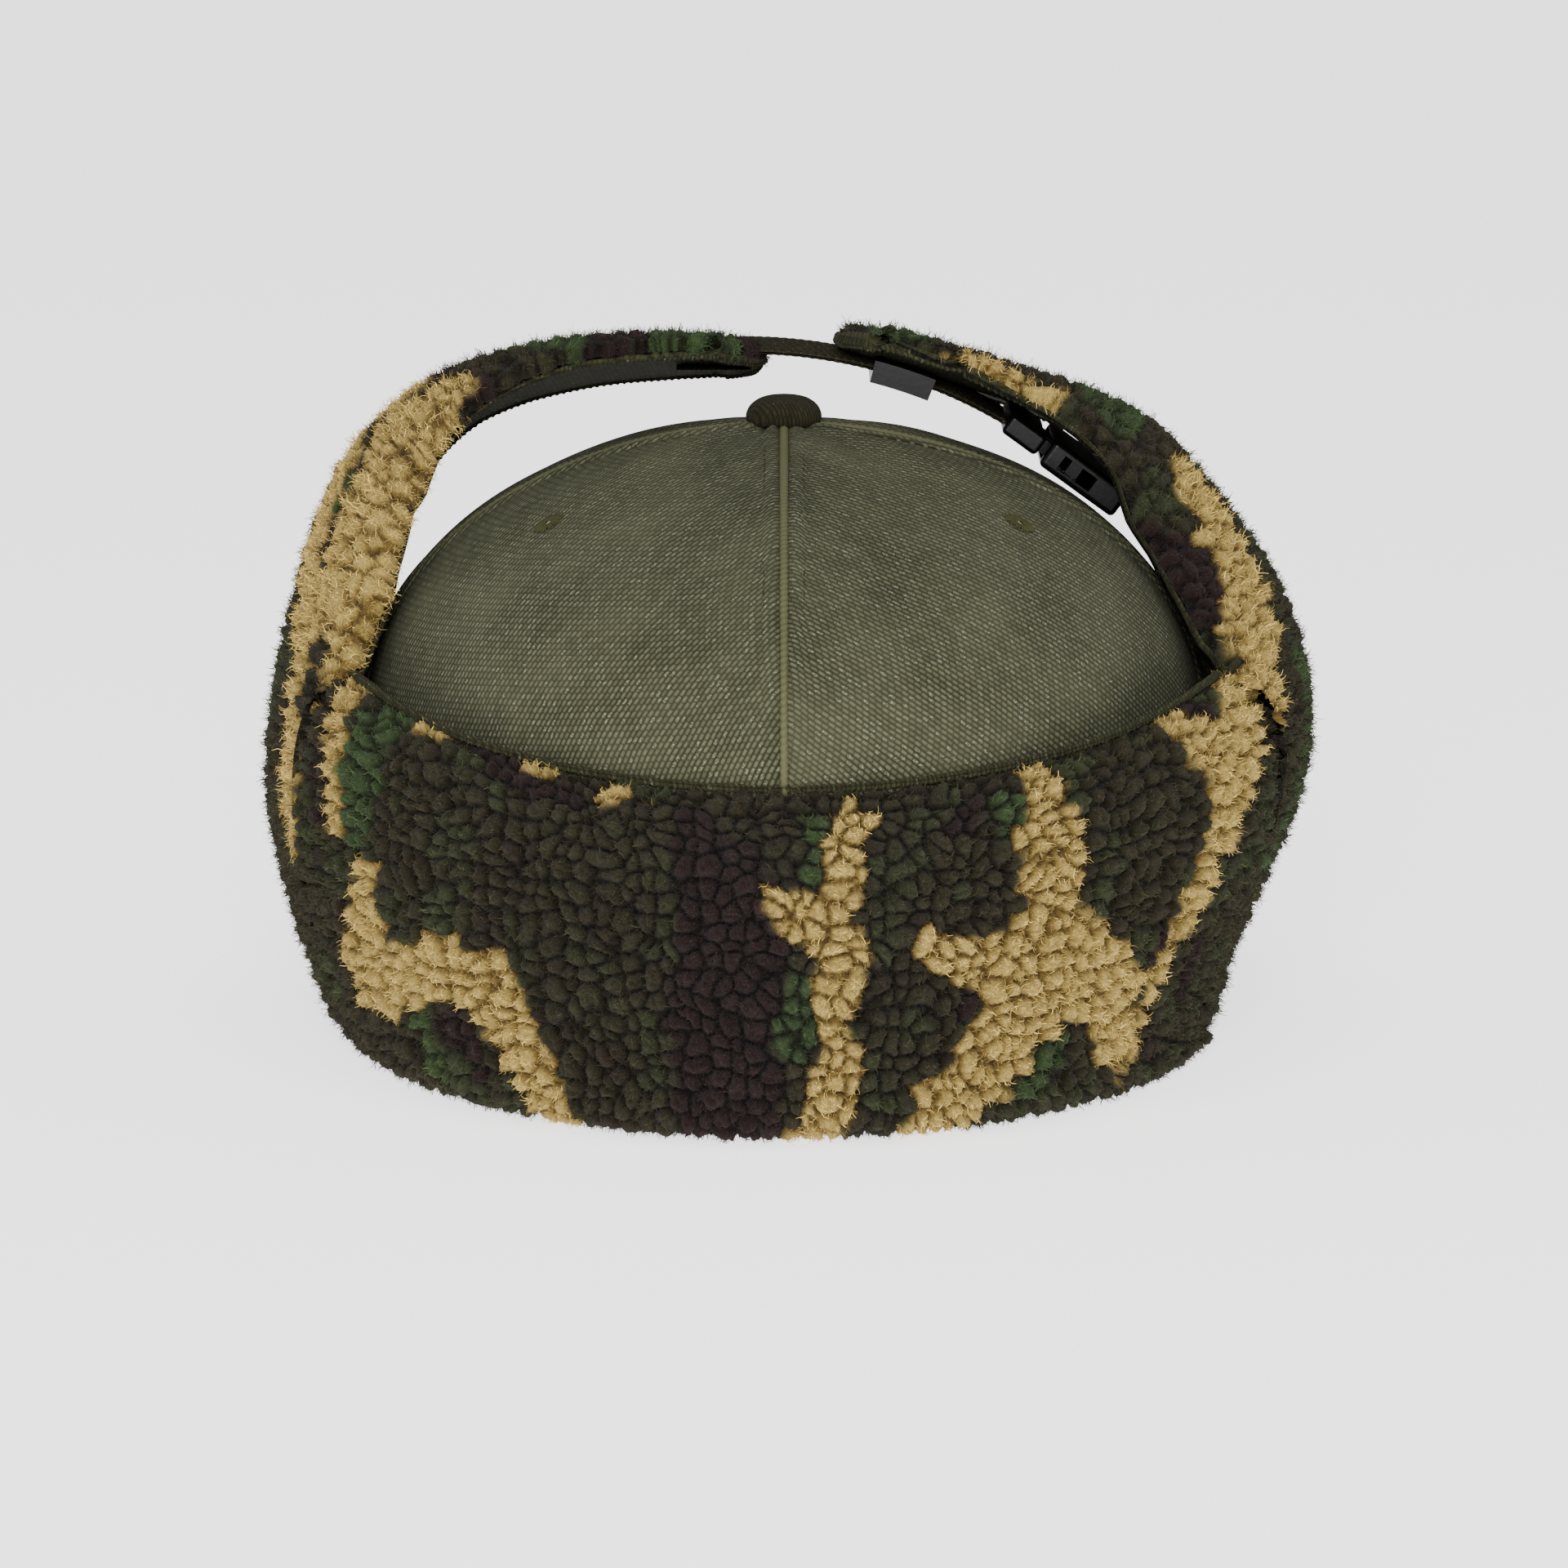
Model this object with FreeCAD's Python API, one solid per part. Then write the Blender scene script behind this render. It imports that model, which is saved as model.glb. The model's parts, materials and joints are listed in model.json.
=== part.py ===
import FreeCAD
import Part

import math
import os

# Trapper hat: a four-panel twill cap whose pile-covered cuff is folded up all round, with the two
# ear flaps brought over the crown and buckled together by a webbing chin strap.
#
# Frame: millimetres, +Z up, +Y to the back of the head, +X to the wearer's left.
# Origin: the middle of the head opening, in the plane that the rolled rim rests on.
# Plan sections are ellipses: a radius is the half-width, and LENGTH_RATIO stretches it along Y.

# --- driving dimensions, crown -------------------------------------------------------------------
LENGTH_RATIO = 1.15         # length over width of every plan section
CROWN_RADIUS = 88.0         # outside half-width at the widest level
RIM_RADIUS = 85.5           # outside half-width at the rim
WIDEST_Z = 67.0             # height of the widest level
CROWN_RISE = 59.0           # from the widest level to the apex
CROWN_LOW_Z = 3.0           # lower edge of the cloth
CLOTH = 1.6                 # twill with its seam allowance
SIDE_SEAM_DEG = 4.0         # the side seams lie this far behind the middle of each side
SEAM_GAP_DEG = 0.15         # half the gap between two panels at a seam
CROWN_HOLE_RADIUS = 4.0     # hole at the apex for the button's rivet
TAPE_HALF_DEG = 4.0         # half-width of an inner seam tape
TAPE = 0.6
BACKING = 0.8
SWEATBAND = 1.0
SWEATBAND_HEIGHT = 32.0
EYELET_RADIUS = 4.5
EYELET_HOLE_RADIUS = 1.6
EYELET_HEIGHT = 1.0
EYELET_CLEAR = 0.05
EYELET_Z = 112.0
EYELET_DEG = 34.0           # eyelets lie this far behind and in front of the sides
BUTTON_RADIUS = 7.5
BUTTON_HEIGHT = 5.4
BUTTON_ROUND = 3.6
BUTTON_FOOT_ROUND = 1.0
RIVET_RADIUS = 2.6

# --- driving dimensions, visor and front edge ----------------------------------------------------
FRONT_CUT_Y = -45.0         # the front edge of the crown starts to rise here
FRONT_CUT_DEG = 22.0        # and rises this steeply to the middle of the visor
VISOR_ROOT_Z = 27.0         # height of the visor's middle where it meets the crown
VISOR_DROP_DEG = 6.0
VISOR_BEND_RADIUS = 140.0
VISOR_BOARD = 2.2
VISOR_CLOTH = 1.1
VISOR_CORNER = (66.0, -62.0)
VISOR_SIDE = (76.0, -92.0)
VISOR_SHOULDER = (68.0, -132.0)
VISOR_NOSE = (38.0, -160.0)
VISOR_TIP_Y = -169.0
VISOR_GAP = 2.2             # from the crown's rim radius to the visor's root
VISOR_ROOT_TUCK = 8.0       # the root's straight edge lies this far behind the corners, inside the crown
VISOR_BLOCK_LOW = -10.0
VISOR_BLOCK_HIGH = 50.0

# --- driving dimensions, rim roll and cuff --------------------------------------------------------
ROLL_RADIUS = 91.5          # half-width of the roll's centre line
ROLL_Z = 5.6
ROLL_SECTION = 5.8          # radius of the roll's section; its underside is flat at z = 0
ROLL_END_DEG = 36.0         # the roll ends this far in front of each side
ROLL_GAP = 0.6              # from the crown's rim radius to the roll's inner face
HINGE_Z = 6.0               # the cuff folds about lines at this height
LINING = 0.8

EAR_HINGE_X = 88.0
EAR_FRONT_Y = -56.0
EAR_REAR_Y = 34.5
EAR_THICK = 9.2
EAR_OUTER = [(99.5, 13.5), (105.0, 32.0), (107.6, 49.0), (107.6, 64.0), (106.0, 78.0), (104.4, 86.0)]

SHOULDER_THICK = 8.6
SHOULDER_OUTER = [(104.1, 87.0), (100.3, 103.0), (92.5, 116.5), (80.5, 128.2)]
SHOULDER_REAR_Y = (31.0, 10.0)       # rear edge at the ear and at the tip
SHOULDER_FRONT_Y = (-57.0, -57.0)

TIP_REAR_Y = (8.0, -6.0)
TIP_FRONT_Y = (-57.0, -54.0)
TIP_THICK_LEFT = 7.6
TIP_THICK_RIGHT = 6.5
TIP_OUTER_LEFT = [(79.7, 128.8), (65.0, 137.3), (45.0, 142.3), (26.0, 143.5), (4.0, 143.3)]
TIP_OUTER_RIGHT = [(79.7, 128.8), (66.0, 132.5), (50.0, 137.0), (32.0, 142.5), (11.0, 148.6)]

# Direction of the flap's run, as (x, z), at the rim, at its two folds and at each tip.
RIM_RUN = (5.5, 18.5)
EAR_RUN = (-0.21, 0.98)
SHOULDER_RUN = (-13.0, 9.0)
TIP_RUN_LEFT = (-22.0, -0.2)
TIP_RUN_RIGHT = (-21.0, 6.1)

BACK_SIDE_NORMAL_DEG = 40.8
BACK_SIDE_HINGE = 94.2               # distance of its hinge line from the Z axis
BACK_SIDE_SPAN = (-21.0, 46.8)       # along the hinge line, from the ear to the middle back
BACK_SIDE_LOW_Z = 16.5
BACK_SIDE_TOP_Z = (86.0, 71.5)
BACK_MIDDLE_HINGE = 101.0
BACK_MIDDLE_HALF = 32.2
BACK_MIDDLE_LOW_Z = 18.0
BACK_MIDDLE_TOP_Z = 70.0
BACK_INNER = 0.7                     # the lining's face, outward from the hinge plane
BACK_OUTER = [(8.6, 15.0), (10.0, 30.0), (10.0, 52.0), (9.0, 66.0), (6.6, 88.0)]

# --- driving dimensions, chin strap and buckle ----------------------------------------------------
STRAP_CENTRE_X = 8.34       # the long strap is bent about this line, parallel to Y
STRAP_CENTRE_Z = 30.5
STRAP_RADIUS = 109.0
STRAP_THICK = 1.4
STRAP_WIDTH = 22.0
STRAP_Y = -30.0
STRAP_START_DEG = -7.0      # inside the left tip; angles run from the vertical to the right side
MOUTH_DEG = 36.1            # mouth of the female buckle
STRAP_END_DEG = 30.65       # at the base of the male buckle
POCKET_CLEAR = 0.05         # round the strap where it goes into the left tip

SLIDER_START_DEG = 14.5
SLIDER_END_DEG = 21.5
SLIDER_WALL_OUT = 1.1
SLIDER_WALL_IN = 1.8
SLIDER_CLEAR = 0.25
SLIDER_RIM = 2.6
SLIDER_END_BAR_DEG = 1.3
SLIDER_BAR_DEG = 1.0

FEMALE_LENGTH = 20.0
FEMALE_HALF_WIDTH = 14.3
FEMALE_HALF_THICK = 3.3
FEMALE_ROUND = 1.2
FEMALE_WINDOW = (4.0, 12.5)          # side openings for the prongs' catches, from the mouth
CAVITY_DEPTH = 15.0
CAVITY_HALF_WIDTH = 12.3
CAVITY_HALF_THICK = 2.2
MALE_HALF_THICK = 1.5
MALE_BASE_HALF_WIDTH = 13.5
MALE_BASE_LENGTH = 9.0
MALE_BASE_HALF_THICK = 2.4
GUIDE_LENGTH = 12.5
PRONG_LENGTH = 12.0
PRONG_INNER = 6.0
PRONG_OUTER = 9.2
PRONG_LOBE = 2.2
BASE_GAP = 1.2              # between the male's base and the female's mouth
BUCKLE_SLOT = 2.1           # slot that each half's webbing runs through
BUCKLE_BAR = 1.9            # bar at each half's far end, which the webbing goes round
BUCKLE_SLOT_HALF_WIDTH = 11.3

LOOP_RADIUS = 5.0           # the short strap turns back round this radius
LOOP_START = 5.4            # straight length behind the female buckle
TAB_DIRECTION_DEG = 46.0    # the tab lies along the inside of the right shoulder
TAB_LENGTH = 10.0
PATCH = 0.9

ORIGIN = FreeCAD.Vector(0, 0, 0)
UP = FreeCAD.Vector(0, 0, 1)
ALONG_Y = FreeCAD.Vector(0, 1, 0)
ALONG_X = FreeCAD.Vector(1, 0, 0)
BIG = 400.0

nodes = {}


# --- general helpers -------------------------------------------------------------------------------
def point(x, y, z):
    return FreeCAD.Vector(x, y, z)


def spline(points):
    curve = Part.BSplineCurve()
    curve.interpolate(points)
    return curve.toShape()


def face_between(outer, inner):
    """Face between two splines, closed by a straight edge at each end."""
    edges = [
        spline(outer),
        Part.makeLine(outer[-1], inner[-1]),
        spline(inner),
        Part.makeLine(inner[0], outer[0]),
    ]
    return Part.Face(Part.Wire(Part.__sortEdges__(edges)))


def polygon_face(points):
    return Part.Face(Part.makePolygon(points + [points[0]]))


def box(x0, x1, y0, y1, z0, z1):
    return Part.makeBox(x1 - x0, y1 - y0, z1 - z0, point(x0, y0, z0))


def lengthen(shape):
    """Stretch a round shape along Y into the hat's elliptical plan."""
    matrix = FreeCAD.Matrix()
    matrix.scale(1.0, LENGTH_RATIO, 1.0)
    return shape.transformGeometry(matrix)


def mirrored(shape):
    """The same part for the other side of the hat."""
    return shape.mirror(ORIGIN, ALONG_X)


def around(face, start_deg, sweep_deg):
    """Sweep a face in the XZ plane round the hat's plan ellipse."""
    solid = face.revolve(ORIGIN, UP, sweep_deg)
    solid.rotate(ORIGIN, UP, start_deg)
    return lengthen(solid)


def save(name, solids):
    """Keep one node; a list of solids is one node of separate pieces."""
    if isinstance(solids, list):
        solids = Part.makeCompound(solids)
    nodes[name] = solids


# --- crown -----------------------------------------------------------------------------------------
def wall_radius(z):
    return RIM_RADIUS + (CROWN_RADIUS - RIM_RADIUS) * math.sin(math.pi / 2 * z / WIDEST_Z)


def dome_height(radius, inset=0.0):
    """Height of the dome, inset from its outside, at a radius from the axis."""
    share = 1.0 - (radius / (CROWN_RADIUS - inset)) ** 2
    return WIDEST_Z + (CROWN_RISE - inset) * math.sqrt(share)


def meridian(inset, low_z, top_radius, steps=7):
    """Points up the crown, inset from its outside."""
    points = []
    for k in range(steps):
        z = low_z + (WIDEST_Z - low_z) * k / steps
        points.append(point(wall_radius(z) - inset, 0, z))
    half_width = CROWN_RADIUS - inset
    last = math.acos(top_radius / half_width)
    for k in range(steps + 1):
        angle = last * k / steps
        z = WIDEST_Z + (CROWN_RISE - inset) * math.sin(angle)
        points.append(point(half_width * math.cos(angle), 0, z))
    return points


def crown_layer(outer_inset, inner_inset, low_z, top_radius, start_deg, sweep_deg):
    outer = meridian(outer_inset, low_z, top_radius)
    inner = meridian(inner_inset, low_z, top_radius)
    return around(face_between(outer, inner), start_deg, sweep_deg)


def front_undercut():
    """Everything below the rising front edge of the crown."""
    block = box(-BIG, BIG, -BIG, BIG, CROWN_LOW_Z - BIG, CROWN_LOW_Z)
    block.rotate(point(0, FRONT_CUT_Y, CROWN_LOW_Z), ALONG_X, -FRONT_CUT_DEG)
    return block


SEAMS = [90.0, SIDE_SEAM_DEG, -90.0, 180.0 - SIDE_SEAM_DEG]


def make_crown():
    undercut = front_undercut()
    spans = {
        "crown_panel_back_left": (SIDE_SEAM_DEG, 90.0),
        "crown_panel_back_right": (90.0, 180.0 - SIDE_SEAM_DEG),
        "crown_panel_front_right": (180.0 - SIDE_SEAM_DEG, 270.0),
        "crown_panel_front_left": (-90.0, SIDE_SEAM_DEG),
    }
    for name, (start, end) in spans.items():
        sweep = end - start - 2 * SEAM_GAP_DEG
        panel = crown_layer(0.0, CLOTH, CROWN_LOW_Z, CROWN_HOLE_RADIUS, start + SEAM_GAP_DEG, sweep)
        save(name, panel.cut(undercut))

    tapes = []
    for seam in SEAMS:
        low = SWEATBAND_HEIGHT + 6.0
        tape = crown_layer(CLOTH + 0.1, CLOTH + 0.1 + TAPE, low, 16.0, seam - TAPE_HALF_DEG, 2 * TAPE_HALF_DEG)
        tapes.append(tape)
    save("seam_tapes", tapes)

    inset = CLOTH + TAPE + 0.3
    backing = []
    for start, end in ((-89.0, -14.0), (194.0, 269.0)):
        backing.append(crown_layer(inset, inset + BACKING, SWEATBAND_HEIGHT + 6.0, 30.0, start, end - start))
    save("front_backing", backing)

    sweatband = around(sweatband_face(), 0.0, 360.0)
    save("sweatband", sweatband.cut(undercut))


def sweatband_face():
    low, high = CROWN_LOW_Z + 0.5, CROWN_LOW_Z + 0.5 + SWEATBAND_HEIGHT
    middle = (low + high) / 2
    outer = [point(wall_radius(z) - CLOTH - 0.3, 0, z) for z in (low, middle, high)]
    inner = [p - point(SWEATBAND, 0, 0) for p in outer]
    return face_between(outer, inner)


def make_eyelets():
    """Sewn ventilation holes, one in each panel: a thread ring round a small hole."""
    radius = CROWN_RADIUS * math.sqrt(1.0 - ((EYELET_Z - WIDEST_Z) / CROWN_RISE) ** 2)
    rings = []
    holes = []
    for side in (1, -1):
        for end in (1, -1):
            x = side * radius * math.cos(math.radians(EYELET_DEG))
            y = end * radius * math.sin(math.radians(EYELET_DEG)) * LENGTH_RATIO
            slope = point(
                x / CROWN_RADIUS ** 2,
                y / (CROWN_RADIUS * LENGTH_RATIO) ** 2,
                (EYELET_Z - WIDEST_Z) / CROWN_RISE ** 2,
            )
            normal = slope.normalize()
            centre = point(x, y, EYELET_Z)
            hole = Part.makeCylinder(EYELET_HOLE_RADIUS, 3 * CLOTH, centre - normal * 2.5 * CLOTH, normal)
            foot = centre - normal * 0.3
            ring = Part.makeCylinder(EYELET_RADIUS, EYELET_HEIGHT, foot, normal)
            ring = ring.makeFillet(0.45, [ring.Edges[0]])
            seat = Part.makeCylinder(EYELET_RADIUS + EYELET_CLEAR, 2.0, foot, normal)
            rings.append(ring.cut(hole))
            holes.append(hole)
            holes.append(seat)
    save("eyelets", rings)
    for name in list(nodes):
        if name.startswith("crown_panel"):
            nodes[name] = nodes[name].cut(Part.makeCompound(holes))


def make_button():
    """Cloth-covered button, and the rivet that holds it through the apex."""
    base = dome_height(CROWN_HOLE_RADIUS) + 0.3
    cap = Part.makeCylinder(BUTTON_RADIUS, BUTTON_HEIGHT, point(0, 0, base))
    top_edges = [edge for edge in cap.Edges if edge.BoundBox.ZMin > base + BUTTON_HEIGHT - 0.1]
    cap = cap.makeFillet(BUTTON_ROUND, top_edges)
    foot_edges = [edge for edge in cap.Edges if edge.BoundBox.ZMax < base + 0.1]
    save("top_button", cap.makeFillet(BUTTON_FOOT_ROUND, foot_edges))
    washer_z = dome_height(BUTTON_RADIUS, CLOTH) - 1.8
    shank = Part.makeCylinder(RIVET_RADIUS, base - washer_z, point(0, 0, washer_z))
    washer = Part.makeCylinder(BUTTON_RADIUS - 0.5, 1.2, point(0, 0, washer_z))
    save("button_rivet", shank.fuse(washer).removeSplitter())


# --- visor -----------------------------------------------------------------------------------------
def bent_sheet(above, below):
    """Sheet bent about a line under the visor, between two offsets from its middle surface."""
    start = point(0, -BIG, VISOR_ROOT_Z - VISOR_BEND_RADIUS)
    top = Part.makeCylinder(VISOR_BEND_RADIUS + above, BIG, start, ALONG_Y)
    bottom = Part.makeCylinder(VISOR_BEND_RADIUS + below, BIG, start, ALONG_Y)
    sheet = top.cut(bottom)
    sheet.rotate(point(0, -RIM_RADIUS * LENGTH_RATIO, VISOR_ROOT_Z), ALONG_X, VISOR_DROP_DEG)
    return sheet


def visor_outline(grow):
    """Plan of the visor as an upright block; grow moves its outer edge outwards."""
    half = [VISOR_CORNER, VISOR_SIDE, VISOR_SHOULDER, VISOR_NOSE]
    right = [point(-x - grow, y - grow, 0) for x, y in half]
    left = [point(x + grow, y - grow, 0) for x, y in reversed(half)]
    edge = spline(right + [point(0, VISOR_TIP_Y - grow, 0)] + left)
    corner = VISOR_CORNER[0] + grow
    corner_y = VISOR_CORNER[1] - grow
    root = VISOR_CORNER[0] - VISOR_ROOT_TUCK
    root_y = VISOR_CORNER[1] + VISOR_ROOT_TUCK
    edges = [
        edge,
        Part.makeLine(point(corner, corner_y, 0), point(root, root_y, 0)),
        Part.makeLine(point(root, root_y, 0), point(-root, root_y, 0)),
        Part.makeLine(point(-root, root_y, 0), point(-corner, corner_y, 0)),
    ]
    plan = Part.Face(Part.Wire(Part.__sortEdges__(edges)))
    plan.translate(point(0, 0, VISOR_BLOCK_LOW))
    height = VISOR_BLOCK_HIGH - VISOR_BLOCK_LOW
    wall = Part.makeCylinder(RIM_RADIUS + VISOR_GAP, height, point(0, 0, VISOR_BLOCK_LOW))
    return plan.extrude(point(0, 0, height)).cut(lengthen(wall))


def make_visor():
    half_board = VISOR_BOARD / 2
    save("visor_board", bent_sheet(half_board, -half_board).common(visor_outline(-1.5)))
    outline = visor_outline(0.0)
    save("visor_top_cloth", bent_sheet(half_board + VISOR_CLOTH, half_board).common(outline))
    save("visor_under_cloth", bent_sheet(-half_board, -half_board - VISOR_CLOTH).common(outline))


# --- rim roll and cuff -----------------------------------------------------------------------------
def make_rim_roll():
    """The cuff's fold round the rim, from ear to ear past the back, with a flat underside."""
    disc = Part.Face(Part.Wire(Part.makeCircle(ROLL_SECTION, point(ROLL_RADIUS, 0, ROLL_Z), ALONG_Y)))
    roll = around(disc, -ROLL_END_DEG, 180.0 + 2 * ROLL_END_DEG)
    wall = lengthen(Part.makeCylinder(RIM_RADIUS + ROLL_GAP, 4 * ROLL_SECTION, point(0, 0, -ROLL_SECTION)))
    floor = box(-BIG, BIG, -BIG, BIG, -BIG, 0)
    save("rim_roll", roll.cut(wall).cut(floor))


def inset_points(outer, depth, end_runs):
    """Points moved into the cloth by depth, square to the run of an XZ profile.

    end_runs gives the run at the first and the last point, so that two stretches meet squarely.
    """
    moved = []
    for k, (x, z) in enumerate(outer):
        if k == 0:
            run_x, run_z = end_runs[0]
        elif k == len(outer) - 1:
            run_x, run_z = end_runs[1]
        else:
            run_x = outer[k + 1][0] - outer[k - 1][0]
            run_z = outer[k + 1][1] - outer[k - 1][1]
        length = math.hypot(run_x, run_z)
        moved.append(point(x - depth * run_z / length, 0, z + depth * run_x / length))
    return moved


def flap_layers(outer, thick, end_runs):
    """Pile layer and lining of one stretch of ear flap, long along Y, sharing a face."""
    layers = []
    for near, far in ((0.0, thick - LINING), (thick - LINING, thick)):
        face = face_between(inset_points(outer, near, end_runs), inset_points(outer, far, end_runs))
        face.translate(point(0, -BIG / 2, 0))
        layers.append(face.extrude(point(0, BIG, 0)))
    return layers


def side_outline(rear, front, low_z, high_z):
    """Block that trims a flap to its width, seen from the side."""
    return polygon_face([
        point(0, front[0], low_z),
        point(0, rear[0], low_z),
        point(0, rear[1], high_z),
        point(0, front[1], high_z),
    ]).extrude(point(BIG, 0, 0))


def tip_outline(tip_x):
    """Block that trims a tip to its rounded end, seen from above."""
    root_x = SHOULDER_OUTER[0][0]
    round_radius = (TIP_REAR_Y[1] - TIP_FRONT_Y[1]) / 2
    middle_y = (TIP_REAR_Y[1] + TIP_FRONT_Y[1]) / 2
    edges = [
        Part.makeLine(point(root_x, TIP_FRONT_Y[0], 0), point(root_x, TIP_REAR_Y[0] + 3.0, 0)),
        Part.makeLine(point(root_x, TIP_REAR_Y[0] + 3.0, 0), point(tip_x + round_radius, TIP_REAR_Y[1], 0)),
        Part.Arc(
            point(tip_x + round_radius, TIP_REAR_Y[1], 0),
            point(tip_x, middle_y, 0),
            point(tip_x + round_radius, TIP_FRONT_Y[1], 0),
        ).toShape(),
        Part.makeLine(point(tip_x + round_radius, TIP_FRONT_Y[1], 0), point(root_x, TIP_FRONT_Y[0], 0)),
    ]
    return Part.Face(Part.Wire(Part.__sortEdges__(edges))).extrude(point(0, 0, BIG))


def make_ear_flaps():
    ear_trim = side_outline((EAR_REAR_Y, EAR_REAR_Y), (EAR_FRONT_Y, EAR_FRONT_Y), 0.0, 120.0)
    shoulder_trim = side_outline(SHOULDER_REAR_Y, SHOULDER_FRONT_Y, 80.0, 134.0)
    for name, outer, thick, end_runs, trim in (
        ("ear", EAR_OUTER, EAR_THICK, (RIM_RUN, EAR_RUN), ear_trim),
        ("shoulder", SHOULDER_OUTER, SHOULDER_THICK, (EAR_RUN, SHOULDER_RUN), shoulder_trim),
    ):
        pile, lining = flap_layers(outer, thick, end_runs)
        for kind, layer in (("pile", pile), ("lining", lining)):
            left = layer.common(trim)
            save("left_" + name + "_" + kind, left)
            save("right_" + name + "_" + kind, mirrored(left))

    half_thick = STRAP_THICK / 2 + POCKET_CLEAR
    pocket = strap_arc(
        STRAP_START_DEG - POCKET_CLEAR, MOUTH_DEG, half_thick, half_thick, STRAP_WIDTH / 2 + POCKET_CLEAR,
    )
    pile, lining = flap_layers(TIP_OUTER_LEFT, TIP_THICK_LEFT, (SHOULDER_RUN, TIP_RUN_LEFT))
    trim = tip_outline(TIP_OUTER_LEFT[-1][0])
    save("left_tip_pile", pile.common(trim).cut(pocket))
    save("left_tip_lining", lining.common(trim))
    pile, lining = flap_layers(TIP_OUTER_RIGHT, TIP_THICK_RIGHT, (SHOULDER_RUN, TIP_RUN_RIGHT))
    trim = tip_outline(TIP_OUTER_RIGHT[-1][0])
    save("right_tip_pile", mirrored(pile.common(trim)))
    save("right_tip_lining", mirrored(lining.common(trim)))


def back_panel(low_z, top_z, span, layer):
    """One stretch of the folded-up neck flap, in a frame whose X is outward from its hinge line."""
    middle = BACK_INNER + LINING
    if layer == "pile":
        inner = middle
        outer = BACK_OUTER
    else:
        inner = BACK_INNER
        outer = [(middle, BACK_OUTER[0][1]), (middle, BACK_OUTER[-1][1])]
    profile = [point(x, 0, z) for x, z in outer]
    profile += [point(inner, 0, outer[-1][1]), point(inner, 0, outer[0][1])]
    face = polygon_face(profile)
    face.translate(point(0, -BIG / 2, 0))
    slab = face.extrude(point(0, BIG, 0))
    trim = polygon_face([
        point(0, span[0], low_z),
        point(0, span[1], low_z),
        point(0, span[1], top_z[1]),
        point(0, span[0], top_z[0]),
    ]).extrude(point(BIG, 0, 0))
    return slab.common(trim)


def make_neck_flap():
    for layer in ("pile", "lining"):
        side = back_panel(BACK_SIDE_LOW_Z, BACK_SIDE_TOP_Z, BACK_SIDE_SPAN, layer)
        side.translate(point(BACK_SIDE_HINGE, 0, 0))
        side.rotate(ORIGIN, UP, BACK_SIDE_NORMAL_DEG)
        save("back_left_" + layer, side)
        save("back_right_" + layer, mirrored(side))
        span = (-BACK_MIDDLE_HALF, BACK_MIDDLE_HALF)
        top = (BACK_MIDDLE_TOP_Z, BACK_MIDDLE_TOP_Z)
        middle = back_panel(BACK_MIDDLE_LOW_Z, top, span, layer)
        middle.translate(point(BACK_MIDDLE_HINGE, 0, 0))
        middle.rotate(ORIGIN, UP, 90.0)
        save("back_middle_" + layer, middle)


# --- chin strap and buckle -------------------------------------------------------------------------
def strap_arc(start_deg, end_deg, out, inward, half_width):
    """Curved bar about the strap's centre line; angles run from the vertical towards -X."""
    y0, y1 = STRAP_Y - half_width, STRAP_Y + half_width
    low, high = STRAP_RADIUS - inward, STRAP_RADIUS + out
    face = polygon_face([
        point(STRAP_CENTRE_X, y0, STRAP_CENTRE_Z + low),
        point(STRAP_CENTRE_X, y1, STRAP_CENTRE_Z + low),
        point(STRAP_CENTRE_X, y1, STRAP_CENTRE_Z + high),
        point(STRAP_CENTRE_X, y0, STRAP_CENTRE_Z + high),
    ])
    centre = point(STRAP_CENTRE_X, 0, STRAP_CENTRE_Z)
    face.rotate(centre, ALONG_Y, -start_deg)
    return face.revolve(centre, ALONG_Y, start_deg - end_deg)


def place_buckle(shape):
    """Move a shape from the buckle's own frame to the hat.

    In its own frame X runs into the female half from its mouth, Z points away from the crown.
    """
    angle = math.radians(MOUTH_DEG)
    x = STRAP_CENTRE_X - STRAP_RADIUS * math.sin(angle)
    z = STRAP_CENTRE_Z + STRAP_RADIUS * math.cos(angle)
    shape.rotate(ORIGIN, UP, 180.0)
    shape.rotate(ORIGIN, ALONG_Y, -MOUTH_DEG)
    shape.translate(point(x, STRAP_Y, z))
    return shape


def make_strap():
    half_thick, half_width = STRAP_THICK / 2, STRAP_WIDTH / 2
    save("chin_strap_long", strap_arc(STRAP_START_DEG, STRAP_END_DEG, half_thick, half_thick, half_width))


def make_slider():
    """Three-bar slide: a frame with a slot along the strap and two windows over its middle bar."""
    half_thick, half_width = STRAP_THICK / 2, STRAP_WIDTH / 2
    out = half_thick + SLIDER_CLEAR
    body = strap_arc(
        SLIDER_START_DEG, SLIDER_END_DEG,
        out + SLIDER_WALL_OUT, out + SLIDER_WALL_IN, half_width + SLIDER_CLEAR + SLIDER_RIM,
    )
    slot = strap_arc(SLIDER_START_DEG - 1.0, SLIDER_END_DEG + 1.0, out, out, half_width + SLIDER_CLEAR)
    body = body.cut(slot)
    middle = (SLIDER_START_DEG + SLIDER_END_DEG) / 2
    for start, end in (
        (SLIDER_START_DEG + SLIDER_END_BAR_DEG, middle - SLIDER_BAR_DEG / 2),
        (middle + SLIDER_BAR_DEG / 2, SLIDER_END_DEG - SLIDER_END_BAR_DEG),
    ):
        body = body.cut(strap_arc(start, end, 8.0, 0.0, half_width - 1.0))
    save("strap_slider", body)


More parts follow.
